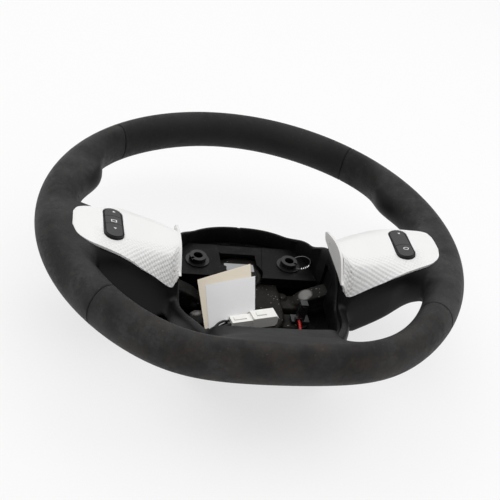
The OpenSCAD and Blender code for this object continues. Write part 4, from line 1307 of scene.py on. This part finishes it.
make_shroud()
make_casting()
lead("lead_rear", REAR_ROUTE, BLACK_EXIT, -LEAD_SIDE, LEAD_R, RUBBER, "black_lead_rear")
lead("lead_front", FRONT_ROUTE, BLACK_EXIT, LEAD_SIDE, LEAD_R, RUBBER, "black_lead_front")
lead("lead_red", RED_ROUTE, RED_EXIT, 0, RED_R, RED, "red_lead")
dressed("airbag_bracket", BRACKET, 0.5)
for name in ("bush_left", "bush_right"):
    dressed(name, BUSH, angle=30)
for name in ("connector_plug", "connector_socket"):
    dressed(name, WHITE_NYLON, 0.35)
dressed("harness_plug", PLUG, 0.3)
paper("tag_front", PAPER, FRONT_TOP, FRONT_FOOT, 1.2)
paper("tag_back", CREAM, BACK_TOP, BACK_FOOT, 0.5)
make_label()
make_wire()

FINISHES = {
    "column_insert": ALLOY, "shroud_screws": STEEL, "lead_grommet": RUBBER,
    "red_grommet": RUBBER, "switch_housing_left": POD, "switch_housing_right": POD,
    "switch_board_left": BOARD, "switch_board_right": BOARD,
}
for name, finish in FINISHES.items():
    NODE[name].data.materials.clear()
    NODE[name].data.materials.append(finish)


# Stage

def seen_directly(tree):
    """1 for rays from the camera and for what metal and gloss mirror, 0 for the light itself."""
    path = add(tree, "ShaderNodeLightPath").outputs
    return maths(tree, "MAXIMUM", path["Is Camera Ray"],
                 maths(tree, "MAXIMUM", path["Is Glossy Ray"], path["Is Transmission Ray"]))


FLOOR_HALF, FLOOR_Z, FLOOR_LIFT = 6.0, -0.0082, 0.7
SOFT, SHOWN = 0.5, 1.0
LIGHT_AIM = Vector((0, -0.02, 0.04))
# Name, place, size and power of each lamp
LAMPS = [("above", (-0.2, 0.3, 2.1), 3.0, 32), ("side", (1.3, 0.2, 1.3), 1.0, 3)]


def make_lamp(name, place, size, power):
    data = bpy.data.lights.new(name, "AREA")
    data.shape = "RECTANGLE"
    data.size, data.size_y = size, size
    data.energy = power
    obj = bpy.data.objects.new(name, data)
    SCENE.collection.objects.link(obj)
    turn = (LIGHT_AIM - Vector(place)).to_track_quat("-Z", "Y").to_matrix().to_4x4()
    obj.matrix_world = Matrix.Translation(place) @ turn


def make_stage():
    bm = bmesh.new()
    bmesh.ops.create_grid(bm, x_segments=1, y_segments=1, size=FLOOR_HALF)
    bmesh.ops.translate(bm, verts=bm.verts[:], vec=(0, 0, FLOOR_Z))
    mat, tree, shader = new_material("pale_floor")
    given(tree, shader, {"Base Color": grey(0.94), "Roughness": 0.8, "Specular IOR Level": 0.2})
    white = add(tree, "ShaderNodeEmission", {"Color": (1, 1, 1, 1), "Strength": 1.0})
    lift = times(tree, seen_directly(tree), FLOOR_LIFT)
    lifted = add(tree, "ShaderNodeMixShader", {0: lift, 1: shader.outputs[0], 2: white.outputs[0]})
    tree.links.new(lifted.outputs[0], tree.nodes["Material Output"].inputs["Surface"])
    piece_from(bm, "floor", mat)

    world = bpy.data.worlds.new("studio")
    SCENE.world = world
    world.use_nodes = True
    tree = world.node_tree
    soft = tree.nodes["Background"]
    given(tree, soft, {"Color": (1, 1, 1, 1), "Strength": SOFT})
    shown = add(tree, "ShaderNodeBackground", {"Color": (1, 1, 1, 1), "Strength": SHOWN})
    both = add(tree, "ShaderNodeMixShader",
               {0: seen_directly(tree), 1: soft.outputs[0], 2: shown.outputs[0]})
    tree.links.new(both.outputs[0], tree.nodes["World Output"].inputs["Surface"])

    for name, place, size, power in LAMPS:
        make_lamp(name, place, size, power)


make_stage()
SCENE.view_settings.view_transform = "Standard"
